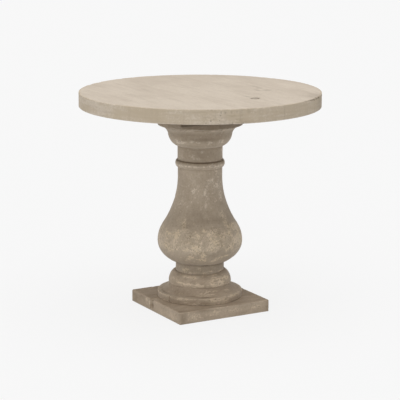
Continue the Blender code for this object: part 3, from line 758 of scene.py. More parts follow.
def rim_loop():
    """Once round a board's section: along its top face, down one end, back below and up the other.

    Gives the share of the half chord, the inset from the rim and the height of each point.
    """
    low, high, edge = top_low.z, top_high.z, TOP_EDGE_ROUND
    turn = np.radians(np.linspace(0.0, 90.0, RIM_ROUND_POINTS))
    end_inset = np.concatenate([edge * (1.0 - np.sin(turn)), np.zeros(RIM_STEPS),
                                edge * (1.0 - np.cos(turn))])
    end_height = np.concatenate([high - edge * (1.0 - np.cos(turn)),
                                 np.linspace(high - edge, low + edge, RIM_STEPS + 2)[1:-1],
                                 low + edge * (1.0 - np.sin(turn))])
    along_top = np.linspace(1.0, -1.0, BOARD_TOP_STEPS)[:-1]
    along_base = np.linspace(-1.0, 1.0, BOARD_BASE_STEPS)[1:-1]
    over, under, end = len(along_top), len(along_base), len(end_inset)
    share = np.concatenate([along_top, np.full(end, -1.0), along_base, np.ones(end - 1)])
    inset = np.concatenate([np.full(over, edge), end_inset, np.full(under, edge), end_inset[:0:-1]])
    height = np.concatenate([np.full(over, high), end_height, np.full(under, low), end_height[:0:-1]])
    return share, inset, height


def top_places(skin, seed):
    """Where the points of a top board lie: in plan, by bearing, on the rim, on the face or the arris."""
    at = SimpleNamespace(points=skin, plan=skin * (1.0, 1.0, 0.0))
    at.bearing = np.degrees(np.arctan2(skin[..., 1], skin[..., 0]))
    at.from_axis = np.linalg.norm(at.plan, axis=-1)
    at.on_rim = soft_step(*(TOP_RADIUS - inset for inset in RIM_WEAR), at.from_axis)
    at.rim_tone = soft_step(*(TOP_RADIUS - inset for inset in RIM_TONE), at.from_axis)
    at.on_top = soft_step(*(top_high.z - drop for drop in FACE_WEAR), skin[..., 2])
    at.arris = at.on_rim * at.on_top
    at.nicks = soft_step(0.30, 0.90, layered_noise(at.plan, NICK_CELL, seed + 3))
    at.scratched = between(SCRATCHED_FROM, SCRATCHED_TO, at.bearing)
    at.scores = layered_noise(skin, SCORE_CELL, seed + 14)
    return at


def knot_marks(at, seed):
    """Greatest of the knots: a ring about a heart, both made ragged by a noise."""
    total = np.zeros(at.bearing.shape)
    for x, y, size, ring, heart in TOP_KNOTS:
        gap = np.hypot(at.points[..., 0] - x, at.points[..., 1] - y) / size
        gap = gap * (1.0 + 0.22 * layered_noise(at.plan, KNOT_CELL, seed + 5))
        total = greatest(total, ring * np.exp(-((gap - 1.0) / 0.42) ** 2),
                         heart * (1.0 - soft_step(0.7, 1.1, gap)))
    return total


def fleck_marks(at, seed):
    """Greatest of the flecks: soft ovals made ragged by a noise."""
    total = np.zeros(at.bearing.shape)
    for x, y, half_x, half_y, strength in TOP_FLECKS:
        gap = np.hypot((at.points[..., 0] - x) / half_x, (at.points[..., 1] - y) / half_y)
        gap = gap * (1.0 + 0.45 * layered_noise(at.plan, FLECK_CELL, seed + 9))
        total = np.maximum(total, strength * np.exp(-gap ** 2))
    return total


def arris_split(at, seed):
    """The split, from 0 to 1: what lies within a ragged, growing reach of a line that dips."""
    level = top_high.z - SPLIT_DIP * soft_step(*SPLIT_DIPS, at.bearing)
    gap = np.hypot(0.60 * (TOP_RADIUS - at.from_axis), level - at.points[..., 2])
    gap = gap + SPLIT_RAGGED * layered_noise(at.plan, SPLIT_CELL, seed + 4)
    widest = SPLIT_WIDTH + SPLIT_GROWTH * soft_step(*SPLIT_WIDENS, at.bearing)
    return between(SPLIT_FROM, SPLIT_TO, at.bearing) * (1.0 - soft_step(0.45 * widest, widest, gap))


def face_depth(at, seams, knots, seed):
    """How deep the top face is sunk: planing waves, raised grain, joints and knots."""
    depth = TOP_WAVE_DEPTH * (1.0 + smooth_noise(at.plan, TOP_WAVE_CELL, seed))
    depth = depth + TOP_GRAIN_DEPTH * (1.0 + layered_noise(at.plan, TOP_GRAIN_CELL, seed + 1))
    for edge in seams:
        depth = depth + TOP_SEAM_DEPTH * np.exp(-np.abs(at.points[..., 0] - edge) / TOP_SEAM_REACH)
    return depth + KNOT_DEPTH * knots


def top_dark(at, seams, knots, split, seed):
    """Dirt of a top board: knots, flecks, joints and the split, and streaks and scratches on its rim."""
    rough_rim = at.on_rim * at.scratched
    streaks = layered_noise(at.points, STREAK_CELL, seed + 8)
    scratches = layered_noise(at.plan, SCRATCH_CELL, seed + 12)
    shallow = 0.70 + 0.30 * soft_step(-0.30, 0.50, layered_noise(at.plan, SHALLOW_CELL, seed + 13))
    dark = greatest(knots, fleck_marks(at, seed), split * shallow,
                    0.15 * at.on_rim * soft_step(0.20, 1.00, streaks),
                    (0.06 * at.on_rim + 0.06 * rough_rim) * soft_step(0.25, 1.10, scratches),
                    0.24 * rough_rim * soft_step(0.15, 0.95, at.scores))
    for edge in seams:
        dark = np.maximum(dark, 0.10 * np.exp(-np.abs(at.points[..., 0] - edge) / TOP_SEAM_DIRT_REACH))
    return dark


def top_pale(at, seed):
    """Lime of a top board, on its face, its rim and its rubbed arrises.

    The face has clouds and streaks, and less lime towards the back right, which is painted shade; the
    rim has saw lines, end grain and placed spots, the paler spot towards its left being painted light.
    """
    x, y, z = np.moveaxis(at.points, -1, 0)
    face = 0.5 + 0.30 * layered_noise(at.plan, FACE_CLOUD_CELL, seed + 6)
    face = face + 0.22 * layered_noise(at.plan, FACE_STREAK_CELL, seed + 10)
    # Painted shade: less lime, so a darker face, towards the back right
    face = face - 0.55 * soft_step(0.08, 0.32, 0.50 * x + 0.87 * y)
    saw_lines = layered_noise(at.points, SAW_LINE_CELL, seed + 7)
    end_grain = layered_noise(at.plan, END_GRAIN_CELL, seed + 11)
    rim = 0.38 + 0.24 * saw_lines + 0.14 * end_grain - 0.30 * at.scratched * at.scores
    rim = rim + patch_marks(np.radians(at.bearing), z, TOP_RIM_PALE_AND_LIT)
    rim = rim - patch_marks(np.radians(at.bearing), z, TOP_RIM_DULL)
    low_arris = at.on_rim * (1.0 - soft_step(*LOW_ARRIS, z - top_low.z))
    return greatest(np.where(at.rim_tone > 0.5, rim, face), 0.40 * at.arris * (1.0 - at.nicks),
                    0.85 * low_arris * (1.0 - at.nicks))


def make_top_board(name, finish, seed):
    """Points at radius R less inset: x is R cos b, y is a share of R sin b, for b from seam to seam."""
    board_low, board_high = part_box(name)
    share, inset, height = (values[:, None] for values in rim_loop())
    radius = TOP_RADIUS - inset
    first = np.arccos(np.clip(board_low.x / radius, -1.0, 1.0))
    last = np.arccos(np.clip(board_high.x / radius, -1.0, 1.0))
    ring = np.arange(len(radius)) * BOARD_COLUMNS
    seams, caps = [], []
    if board_low.x < -TIP_SHARE * TOP_RADIUS:
        first = np.full_like(first, math.pi)
    else:
        seams.append(board_low.x)
        caps.append(ring[::-1])
    if board_high.x > TIP_SHARE * TOP_RADIUS:
        last = np.zeros_like(last)
    else:
        seams.append(board_high.x)
        caps.append(ring + BOARD_COLUMNS - 1)
    angle = first + (last - first) * np.linspace(0.0, 1.0, BOARD_COLUMNS)
    skin = np.stack([radius * np.cos(angle), share * radius * np.sin(angle),
                     np.broadcast_to(height, angle.shape)], -1)
    at = top_places(skin, seed)
    knots, split = knot_marks(at, seed), arris_split(at, seed)
    marks = {"pale": unit(top_pale(at, seed)), "dark": unit(top_dark(at, seams, knots, split, seed)),
             "rim": at.rim_tone, "rough": at.on_rim * at.scratched}
    # The face is sunk downwards, the rim is worn inwards by saw marks, and the arris both ways
    worn = at.arris * (ARRIS_WEAR + ARRIS_NICK * at.nicks) + SPLIT_DEPTH * split
    saw_marks = SAW_DEPTH * np.clip(1.0 + layered_noise(skin, SAW_CELL, seed + 2), 0.0, None)
    inwards = at.on_rim * saw_marks + worn
    downwards = at.on_top * (face_depth(at, seams, knots, seed) + worn)
    skin[..., :2] *= (1.0 - inwards / np.maximum(at.from_axis, NEAR_AXIS))[..., None]
    skin[..., 2] -= downwards
    quads = grid_quads(len(skin), BOARD_COLUMNS, True, False)
    make_piece(name, skin.reshape(-1, 3), quads, caps, marks, finish, weld=len(caps) < 2)


# Finishes

BUMP_STRENGTH = 0.6
# Strength of the painted shade on the block's front face
BLOCK_SHADE = 0.88


class Wire:
    """An output socket of a finish; sums, differences and products of wires add Math nodes."""

    def __init__(self, finish, socket):
        self.finish, self.socket = finish, socket

    def math(self, operation, first, second):
        """A Math node on two wires or numbers."""
        return self.finish.add("ShaderNodeMath", {"operation": operation}, {0: first, 1: second})

    def __add__(self, other):
        return self.math("ADD", self, other)

    def __sub__(self, other):
        return self.math("SUBTRACT", self, other)

    def __rsub__(self, other):
        return self.math("SUBTRACT", other, self)

    def __mul__(self, other):
        return self.math("MULTIPLY", self, other)

    __radd__, __rmul__ = __add__, __mul__

    def step(self, low, high):
        """0 below low and 1 above high, smooth between them."""
        return self.finish.add("ShaderNodeMapRange", {"interpolation_type": "SMOOTHSTEP"},
                               {"Value": self, "From Min": low, "From Max": high})


class Finish:
    """A node material, and the record's slot that it stands for."""

    def __init__(self, name, slot):
        self.slot = slot
        self.material = bpy.data.materials.new(name)
        self.material.use_nodes = True
        self.tree = self.material.node_tree
        self.shader = self.tree.nodes["Principled BSDF"]
        self.place = self.add("ShaderNodeTexCoord", output="Object")

    def add(self, kind, settings=None, sockets=None, output=0):
        """Add a node: its settings first, then the values or links of its sockets."""
        node = self.tree.nodes.new(kind)
        for key, value in (settings or {}).items():
            setattr(node, key, value)
        for key, value in (sockets or {}).items():
            self.plug(node.inputs[key], value)
        return Wire(self, node.outputs[output])

    def plug(self, socket, value):
        """Link a wire to a socket, or set the socket's own value."""
        if isinstance(value, Wire):
            self.tree.links.new(value.socket, socket)
        else:
            socket.default_value = value

    def feed(self, **values):
        """Plug values into the shader's sockets, named with _ for each space."""
        for name, value in values.items():
            self.plug(self.shader.inputs[name.replace("_", " ")], value)

    def mark(self, name):
        """A mark that the surface carries at its points."""
        return self.add("ShaderNodeAttribute", {"attribute_name": name}, output="Fac")

    def mapped(self, stretch, shift):
        """Object coordinates, scaled along X, Y and Z and moved by the shift."""
        return self.add("ShaderNodeMapping", None, {"Vector": self.place, "Scale": stretch,
                                                    "Location": (shift, shift, shift)})

    def noise(self, stretch, detail=3.0, roughness=0.55, shift=0.0):
        """Noise on Object coordinates with so many waves to the metre along X, Y and Z."""
        return self.add("ShaderNodeTexNoise", None, {"Vector": self.mapped(stretch, shift), "Scale": 1.0,
                                                     "Detail": detail, "Roughness": roughness})

    def dots(self, per_metre, size, shift=0.0):
        """Round specks on Object coordinates, so many to the metre; size is a share of their gap."""
        place = self.mapped((per_metre,) * 3, shift)
        distance = self.add("ShaderNodeTexVoronoi", None, {"Vector": place, "Scale": 1.0}, "Distance")
        return 1.0 - distance.step(0.4 * size, size)

    def level(self, axis):
        """How far along one axis of the object a place lies."""
        return self.add("ShaderNodeSeparateXYZ", None, {0: self.place}, axis)

    def mix(self, share, first, second):
        """Blend from the first colour to the second."""
        return self.add("ShaderNodeMix", {"data_type": "RGBA"}, {0: share, 6: first, 7: second}, 2)

    def surface(self, colour, roughness, height, depth):
        """Feed the shader: colour, roughness and a bump of the given depth."""
        bump = {"Height": height, "Distance": depth, "Strength": BUMP_STRENGTH}
        self.feed(Base_Color=colour, Roughness=roughness, Normal=self.add("ShaderNodeBump", None, bump))


def tint(red, green, blue):
    """A colour with full cover."""
    return (red, green, blue, 1.0)


def grey(level):
    """A colour with its three parts alike."""
    return tint(level, level, level)


def scaled(colour, red, green, blue):
    """A colour with its parts multiplied."""
    return tint(colour[0] * red, colour[1] * green, colour[2] * blue)


def limed_wood(name, slot, along, tones, shift, speckle=1.0, shaded=None, drawn=230.0, aged=None,
               broken=(1.3, 2.7), powder=0.0, rim=None):
    """Wood with lime in its grain: streaks along one axis, pale wear, dark specks and dirt.

    The tones are deep, body, streak, lime and dirt, and the dirt tone is also that of painted shade;
    shaded gives two depths in Y, before the first of which the wood is darkened as painted shade; drawn
    is how many flecks there are to the metre along the grain; aged gives two heights, between which the
    lime turns from yellowed in patches, below, to fresh and white, above; broken is how much mottle and
    flecks break up the pale wear; powder is the weight of the sheen that dry lime gives a face seen
    edge-on; rim is the tone that a sawn rim leans to, where there is one.
    """
    finish = Finish(name, slot)
    deep, body, streak, lime, dirt = tones

    def waves(across, along_grain=None):
        """So many waves to the metre across the grain and along it, or the same both ways."""
        return tuple((along_grain or across) if axis == along else across for axis in "XYZ")

    pale, dark = finish.mark("pale"), finish.mark("dark")
    if shaded:
        # Painted shade on the block's front face, as if in the top's shadow
        dark = dark + (1.0 - finish.level("Y").step(*shaded)) * BLOCK_SHADE
    if aged:
        yellowed, fresh = scaled(lime, 0.99, 0.985, 0.935), scaled(lime, 1.0, 1.045, 1.13)
        patches = finish.noise(waves(26.0), 2.0, 0.5, shift + 4.0).step(0.42, 0.58)
        lime = finish.mix(finish.level("Z").step(*aged), finish.mix(patches, lime, yellowed), fresh)
    cloud = finish.noise(waves(15.0), 3.0, 0.55, shift)
    grain = finish.noise(waves(95.0, 8.0), 4.0, 0.62, shift)
    fibre = finish.noise(waves(620.0, 34.0), 3.0, 0.55, shift)
    mottle = finish.noise(waves(95.0), 5.0, 0.70, shift)
    fleck = finish.noise(waves(230.0, drawn), 3.0, 0.70, shift)
    specks = finish.dots(120.0, 0.40, shift)
    glints = finish.dots(85.0, 0.28, shift + 2.5)
    colour = finish.mix(cloud.step(0.32, 0.68), deep, body)
    colour = finish.mix(grain.step(0.38, 0.72) * 0.55, colour, streak)
    soil = (1.0 - fleck.step(0.34, 0.52)) * (0.20 * speckle)
    if rim:
        # A scratched rim has more specks, but no more soil
        colour = finish.mix(finish.mark("rim") * 0.85, colour, rim)
        speckle = finish.mark("rough") * 1.3 + speckle
    colour = finish.mix(pale.step(0.0, 1.0) * 0.50, colour, lime)
    worn = (pale + (mottle - 0.5) * broken[0] + (fleck - 0.5) * broken[1]).step(0.50, 0.88)
    colour = finish.mix(worn * 0.72, colour, lime)
    colour = finish.mix(glints * mottle.step(0.40, 0.58) * 0.55 * speckle, colour, lime)
    pores = fibre.step(0.54, 0.70) * 0.34
    grit = (1.0 - fleck.step(0.36, 0.48)) * pale.step(0.15, 0.80) * 0.50 * speckle
    pits = specks * (pale.step(0.1, 0.9) * 0.48 + 0.06) * mottle.step(0.38, 0.55) * speckle
    # The dark mark mixes towards the dirt tone: dirt, and painted shade where the marks paint it
    dirt_and_painted_shade = dark * (0.45 + mottle * 0.55) + dark.step(0.70, 1.0) * 0.30
    for share, tone in ((pores, deep), (grit, deep), (soil, dirt), (pits, dirt), (dirt_and_painted_shade, dirt)):
        colour = finish.mix(share, colour, tone)
    roughness = 0.70 + (mottle - 0.5) * 0.25 - worn * 0.06
    height = fibre * 0.35 + fleck * 0.35 + mottle * 0.5 - pits * 0.8
    finish.surface(colour, roughness, height, depth=0.0007)
    finish.feed(Specular_IOR_Level=0.35, Sheen_Weight=powder, Sheen_Roughness=0.45,
                Sheen_Tint=tint(1.0, 0.93, 0.82))
    return finish


def bare_wood(name, slot):
    """Plain unfinished wood of the hidden dowels and splines: growth lines and pores."""
    finish = Finish(name, slot)
    lines = finish.noise((210.0, 14.0, 210.0), 3.0, 0.6)
    pores = finish.noise((800.0, 60.0, 800.0), 2.0, 0.5)
    colour = finish.mix(lines.step(0.35, 0.68), tint(0.44, 0.31, 0.17), tint(0.60, 0.45, 0.28))
    colour = finish.mix(pores.step(0.56, 0.74) * 0.5, colour, tint(0.26, 0.17, 0.09))
    finish.surface(colour, 0.66 + lines * 0.16, lines * 0.6 + pores * 0.4, depth=0.0004)
    return finish


def zinc_steel(name, slot):
    """Zinc-coated steel: drawn streaks, a dull bloom and a little brown in places."""
    finish = Finish(name, slot)
    streaks = finish.noise((900.0, 900.0, 60.0), 3.0, 0.6)
    bloom = finish.noise((140.0, 140.0, 140.0), 4.0, 0.6)
    colour = finish.mix(bloom.step(0.35, 0.70), tint(0.60, 0.60, 0.59), tint(0.44, 0.45, 0.46))
    brown = bloom.step(0.62, 0.78)
    colour = finish.mix(brown * 0.6, colour, tint(0.25, 0.15, 0.09))
    finish.feed(Metallic=1.0 - brown * 0.6)
    finish.surface(colour, 0.34 + streaks * 0.18 + brown * 0.25, streaks, depth=0.0001)
    return finish


turned_finish = limed_wood("limed_turned_wood", "turned_wood", "Z", (
    tint(0.421, 0.341, 0.254), tint(0.492, 0.404, 0.307), tint(0.535, 0.446, 0.343),
    tint(0.735, 0.606, 0.453), tint(0.171, 0.127, 0.081)),
    shift=0.0, aged=(0.250, 0.300), broken=(1.9, 2.0), powder=0.30)
foot_finish = limed_wood("limed_foot_wood", "turned_wood", "X", (
    tint(0.425, 0.336, 0.246), tint(0.490, 0.392, 0.290), tint(0.535, 0.434, 0.324),
    tint(0.735, 0.600, 0.446), tint(0.175, 0.124, 0.080)),
    shift=1.9, drawn=75.0, aged=(0.330, 0.400), broken=(1.5, 3.1), powder=0.30)
plinth_finish = limed_wood("limed_plinth_wood", "plinth_wood", "X", (
    tint(0.420, 0.334, 0.246), tint(0.500, 0.402, 0.300), tint(0.550, 0.448, 0.340),
    tint(0.720, 0.594, 0.448), tint(0.180, 0.127, 0.081)),
    shift=3.7, speckle=0.80, broken=(1.2, 2.3))
# Painted shade: the block's tones are a darker copy of the plinth's, as if in the top's shadow, and its
# front face is darkened further
shadowed_block_finish = limed_wood("limed_block_wood_painted_shade", "plinth_wood", "X", (
    tint(0.265, 0.210, 0.150), tint(0.315, 0.252, 0.183), tint(0.350, 0.284, 0.210),
    tint(0.430, 0.352, 0.260), tint(0.130, 0.100, 0.066)),
    shift=5.9, shaded=(block_front + 0.001, block_front + 0.008))
top_finish = limed_wood("limed_top_wood", "top_wood", "Y", (
    tint(0.545, 0.463, 0.374), tint(0.595, 0.510, 0.416), tint(0.625, 0.541, 0.444),
    tint(0.665, 0.578, 0.476), tint(0.180, 0.140, 0.098)),
    shift=8.1, speckle=0.08, rim=tint(0.530, 0.437, 0.311))
hidden_finish = bare_wood("bare_joint_wood", "plain_wood")
steel_finish = zinc_steel("zinc_coated_steel", "steel")

# Placed wear. Belts: low, high and strength. Pale and dark spots: angle about the axis in degrees,
# height, half sizes and strength. Shaded bands, of painted shade: first and last angle, lowest height and
# strength. Ends: height, reach and strength of the dirt and painted shade there. Joint: strength and reach
# of the dirt at a disc's joint. Smear: the cell of the noise that breaks the wear up.
# Among the column's placed wear, the pale on the bulb's right flank and on both flanks of the upper neck is
# painted light; the dark above the bead, on both necks, at the ends under the bowl and the bulb, and the
# dark spots on the bulb's left flank and underside are painted shade
COLUMN_WEAR = {
    "smear": (0.016, 0.016, 0.016),
    "ends": [(COLUMN_TOP, 0.0055, 0.48), (LOWER_NECK_TOP, 0.0042, 0.92)],
    "belts": [(0.181, 0.2405, 0.54), (0.285, 0.396, 0.22)],
    "pale": [
        (-153, 0.226, 10, 0.014, 0.9), (-157, 0.206, 14, 0.014, 0.4), (-147, 0.248, 4, 0.012, 0.95),
        (-104, 0.231, 9, 0.01, 1.1), (-119, 0.222, 7, 0.012, 0.85), (-125, 0.195, 9, 0.008, 1.2),
        (-137, 0.189, 11, 0.006, 1.0), (-101, 0.206, 10, 0.012, 1.0), (-116.5, 0.208, 5, 0.01, 1.7),
        (-122, 0.1605, 18, 0.0035, 0.8), (-92, 0.16, 7, 0.0055, 2.0), (-79, 0.165, 5, 0.0035, 1.8),
        (-115.5, 0.173, 3, 0.008, 1.7), (-117, 0.159, 3, 0.004, 1.5), (-111.5, 0.158, 2.5, 0.004, 1.4),
        (-131, 0.166, 3, 0.006, 1.5), (-97, 0.153, 4, 0.0025, 2.0), (-91.5, 0.1582, 4, 0.003, 2.0),
        (-86, 0.1632, 4, 0.003, 2.0), (-66, 0.21, 15, 0.027, 1.15), (-66, 0.2128, 13, 0.0024, 1.9),
        (-68, 0.197, 6, 0.01, 1.4), (-58, 0.238, 10, 0.01, 2.4), (-176, 0.226, 14, 0.022, 0.6),
        (-46, 0.214, 16, 0.03, 1.8), (-35, 0.44, 25, 0.022, 0.8), (-178, 0.44, 22, 0.022, 0.3),
        (-108, 0.338, 4, 0.009, 0.95), (-107, 0.298, 2.5, 0.02, 0.9), (-137, 0.339, 6, 0.016, 0.85),
        (-165, 0.331, 4, 0.016, 0.7), (-88, 0.288, 6, 0.014, 0.5), (-67, 0.276, 15, 0.034, 0.52),
        (-70, 0.35, 26, 0.052, 0.74), (-96, 0.358, 10, 0.018, 0.56), (-147, 0.262, 3, 0.009, 0.5),
        (-114, 0.448, 6, 0.005, 0.75), (-128, 0.43, 14, 0.005, 0.7), (-140, 0.436, 8, 0.005, 0.65),
        (-120, 0.4068, 400, 0.0032, 0.84), (-156, 0.407, 5, 0.0026, 1.7), (-134, 0.407, 3, 0.0026, 2.0),
        (-110.5, 0.4072, 3, 0.0026, 2.0), (-102, 0.407, 2.5, 0.0026, 2.0), (-93, 0.4068, 5, 0.0026, 1.2),
        (-96, 0.4096, 6, 0.0024, 1.3), (-72, 0.4064, 5, 0.0026, 1.7), (-161, 0.1165, 5, 0.0028, 2.1),
        (-152, 0.1205, 5, 0.0026, 2.0), (-89, 0.1152, 10, 0.0022, 1.8), (-124, 0.124, 7, 0.003, 0.8),
        (-115, 0.111, 400, 0.003, 0.5), (-131.5, 0.2362, 5, 0.005, 1.5), (-111, 0.2388, 6, 0.005, 1.6),
        (-119.5, 0.2005, 5, 0.006, 1.5), (-119.5, 0.219, 5, 0.008, 1.0), (-142.4, 0.2221, 4, 0.008, 1.2),
        (-146, 0.211, 4, 0.006, 1.1), (-104, 0.218, 4, 0.006, 1.3), (-96, 0.2117, 5, 0.005, 1.1),
        (-79, 0.1883, 6, 0.006, 1.0), (-82, 0.181, 5, 0.005, 1.0),
    ],
    "dark": [
        (-115, 0.263, 65, 0.012, 0.4), (-128, 0.272, 26, 0.024, 0.38), (-136, 0.222, 7, 0.018, 0.4),
        (-91, 0.235, 6, 0.013, 0.44), (-163, 0.203, 8, 0.016, 0.26), (-144, 0.206, 9, 0.008, 0.22),
        (-175, 0.155, 14, 0.008, 0.3), (-104, 0.172, 6, 0.006, 0.26), (-89.5, 0.203, 1.8, 0.014, 0.42),
        (-115, 0.4174, 400, 0.003, 0.98), (-115, 0.4145, 400, 0.003, 0.4), (-115, 0.44, 45, 0.018, 0.58),
        (-132, 0.12, 42, 0.014, 0.51), (-172, 0.268, 28, 0.03, 0.34), (-141, 0.25, 15, 0.009, 0.52),
        (-116, 0.1812, 7, 0.004, 0.28), (-146, 0.2445, 7, 0.005, 0.5), (-136, 0.2127, 4, 0.007, 0.46),
        (-130, 0.2054, 4, 0.005, 0.44), (-130.5, 0.2159, 4, 0.006, 0.3), (-97, 0.2425, 7, 0.004, 0.4),
        (-153, 0.1985, 6, 0.006, 0.28), (-118, 0.4528, 62, 0.0042, 0.6),
    ],
}
# The bowl's dark marks, under its lip and below its belly, are painted shade
BOWL_WEAR = {
    "smear": (0.018, 0.018, 0.008),
    "ends": [(bowl_high.z, 0.0025, 0.12)],
    "pale": [
        (-167, 0.4762, 9, 0.0055, 1.8), (-155, 0.4748, 7, 0.0042, 1.6), (-134, 0.4795, 4, 0.0034, 1.3),
        (-124, 0.477, 5, 0.0032, 1.4), (-101, 0.4768, 6, 0.0052, 2.0), (-76, 0.4758, 8, 0.0052, 1.7),
        (-115, 0.473, 400, 0.008, 0.08), (40, 0.474, 30, 0.007, 0.8), (140, 0.474, 24, 0.007, 0.8),
    ],
    "dark": [
        (-115, 0.498, 400, 0.012, 0.52), (-113, 0.4855, 38, 0.008, 0.76), (-116, 0.465, 50, 0.004, 0.22),
    ],
}
RING_WEAR = {
    "smear": (0.020, 0.020, 0.007),
    "pale": [
        (-149, 0.103, 9, 0.004, 1.15), (-140, 0.101, 8, 0.0036, 1.25), (-129, 0.1005, 8, 0.0038, 1.5),
        (-161, 0.0845, 12, 0.0034, 1.45), (-146, 0.0832, 10, 0.0034, 1.5), (-119, 0.0825, 12, 0.0036, 1.75),
        (-98, 0.087, 8, 0.0085, 2.0), (-84, 0.0855, 10, 0.0085, 2.1), (-71, 0.085, 6, 0.007, 1.4),
        (-82, 0.1058, 11, 0.0014, 1.4), (-83, 0.093, 8, 0.006, 1.8), (-59, 0.0935, 10, 0.008, 1.9),
        (-62, 0.078, 9, 0.005, 0.7), (-115, 0.088, 400, 0.01, 0.28), (-115, 0.109, 400, 0.003, 0.6),
        (60, 0.092, 40, 0.007, 0.9),
    ],
    "dark": [
        (-107, 0.101, 13, 0.006, 0.55), (-75, 0.103, 16, 0.004, 0.45), (-170, 0.1, 18, 0.008, 0.4),
        (-148, 0.0955, 7, 0.004, 0.42), (-131, 0.0885, 8, 0.0065, 0.55),
    ],
}
# The dark end at the foot's underside is a painted contact shadow
FOOT_WEAR = {
    "smear": (0.022, 0.022, 0.005),
    "ends": [(foot_low.z, 0.0030, 0.45)],
    "joint": (1.0, 0.0022),
    "pale": [
        (-115, 0.0606, 5, 0.0017, 2.0), (-117, 0.0553, 9, 0.0012, 1.3), (-102, 0.0635, 9, 0.0017, 1.9),
        (-97, 0.0577, 9, 0.0013, 1.5), (-62, 0.062, 8, 0.003, 0.75), (-115, 0.0508, 400, 0.0013, 0.7),
        (-184, 0.0503, 27, 0.001, 1.9), (-62, 0.0508, 26, 0.0012, 1.7), (-95, 0.0468, 10, 0.0042, 2.2),
        (-83, 0.0445, 5, 0.0034, 1.8), (-67, 0.049, 9, 0.0018, 1.4), (-150, 0.048, 11, 0.0024, 1.2),
        (-138, 0.0415, 6, 0.0032, 1.1), (-119, 0.0408, 3, 0.0024, 1.2), (-152, 0.058, 8, 0.005, 0.6),
    ],
    "dark": [
        (-90, 0.063, 400, 0.014, 0.54), (-158, 0.039, 30, 0.009, 0.55), (-156, 0.06, 34, 0.013, 0.74),
        (-128, 0.0542, 34, 0.0022, 0.78), (-110, 0.0515, 9, 0.0022, 0.62), (-121, 0.0488, 9, 0.0026, 0.62),
        (-128, 0.043, 8, 0.0055, 0.66), (-190, 0.058, 22, 0.01, 0.66), (-112, 0.0552, 24, 0.0035, 0.62),
        (-188, 0.0526, 34, 0.0018, 0.88), (-112, 0.0525, 24, 0.0015, 0.95), (-140, 0.059, 14, 0.0012, 0.82),
        (-128, 0.0552, 15, 0.001, 0.85), (-158, 0.056, 10, 0.0012, 0.8), (-100, 0.0605, 8, 0.0008, 0.82),
        (-30, 0.039, 38, 0.009, 0.6), (-115, 0.04, 12, 0.008, 0.7), (-90, 0.04, 400, 0.008, 0.32),
    ],
}
# The capital's dark all round its upper rim and its shaded bands are painted shade beneath the top
CAPITAL_WEAR = {
    "smear": 0.015,
    "ends": [(CAPITAL_BASE, 0.0010, 0.40)],
    "joint": (0.9, 0.0014),
    "dark": [(0, 0.525, 400, 0.02, 0.52)],
    "shaded": [(-144.0, 150.0, 0.5182, 0.79), (-122.0, 150.0, 0.5162, 0.79)],
}
# Chips of the plinth: place, size and depth
PLINTH_CHIPS = [
    (-0.1405, 0.0210, 0.0145, 0.0080, 0.0052),
    (-0.1390, 0.0205, 0.0340, 0.0086, 0.0040),
]
# Pale places and stains of the plinth: place, half width, half height and strength
PLINTH_PATCHES = [
    (-0.1405, 0.0517, 0.0249, 0.0100, 0.0050, 1.00), (-0.1405, 0.0330, 0.0212, 0.0075, 0.0055, 1.35),
    (-0.1405, -0.030, 0.012, 0.035, 0.010, 0.50), (-0.1405, -0.095, 0.015, 0.045, 0.013, 0.56),
    (-0.0980, -0.1405, 0.017, 0.028, 0.012, 0.74), (-0.0360, -0.1405, 0.020, 0.028, 0.009, 0.62),
    (0.0300, -0.1405, 0.019, 0.040, 0.009, 0.55), (0.0980, -0.1405, 0.019, 0.030, 0.009, 0.60),
]
PLINTH_STAINS = [
    (0.1380, -0.1405, 0.016, 0.011, 0.030, 0.44), (-0.1310, -0.1405, 0.016, 0.010, 0.030, 0.46),
    (-0.0650, -0.1405, 0.031, 0.030, 0.004, 0.55), (0.0400, -0.1405, 0.033, 0.040, 0.003, 0.55),
    (-0.1405, 0.122, 0.018, 0.042, 0.024, 0.42), (-0.1405, 0.080, 0.027, 0.026, 0.007, 0.50),
]
# Places round the top's rim that are paler and duller, as spots
TOP_RIM_PALE_AND_LIT = [(-178, 0.588, 17, 0.060, 0.34), (-118, 0.588, 12, 0.060, 0.14)]
TOP_RIM_DULL = [(-146, 0.588, 11, 0.060, 0.26)]
# Knots of the top: place, radius of the dark ring, its strength and that of the heart
TOP_KNOTS = [(0.0612, -0.1850, 0.0098, 1.00, 0.45)]
# Dark flecks in the grain of the top: place, half sizes along X and Y, strength
TOP_FLECKS = [
    (0.0560, -0.1560, 0.0030, 0.0150, 0.55), (0.1743, 0.0051, 0.0080, 0.0110, 0.50),
    (0.1679, -0.0289, 0.0070, 0.0100, 0.60), (0.1433, -0.0610, 0.0050, 0.0120, 0.52),
    (0.1646, -0.0769, 0.0090, 0.0090, 0.55), (-0.2710, 0.1450, 0.0150, 0.0100, 0.14),
    (-0.1200, 0.0900, 0.0030, 0.0240, 0.22), (0.2300, 0.1300, 0.0030, 0.0200, 0.22),
    (0.2330, -0.2250, 0.0320, 0.0340, 0.40),
]

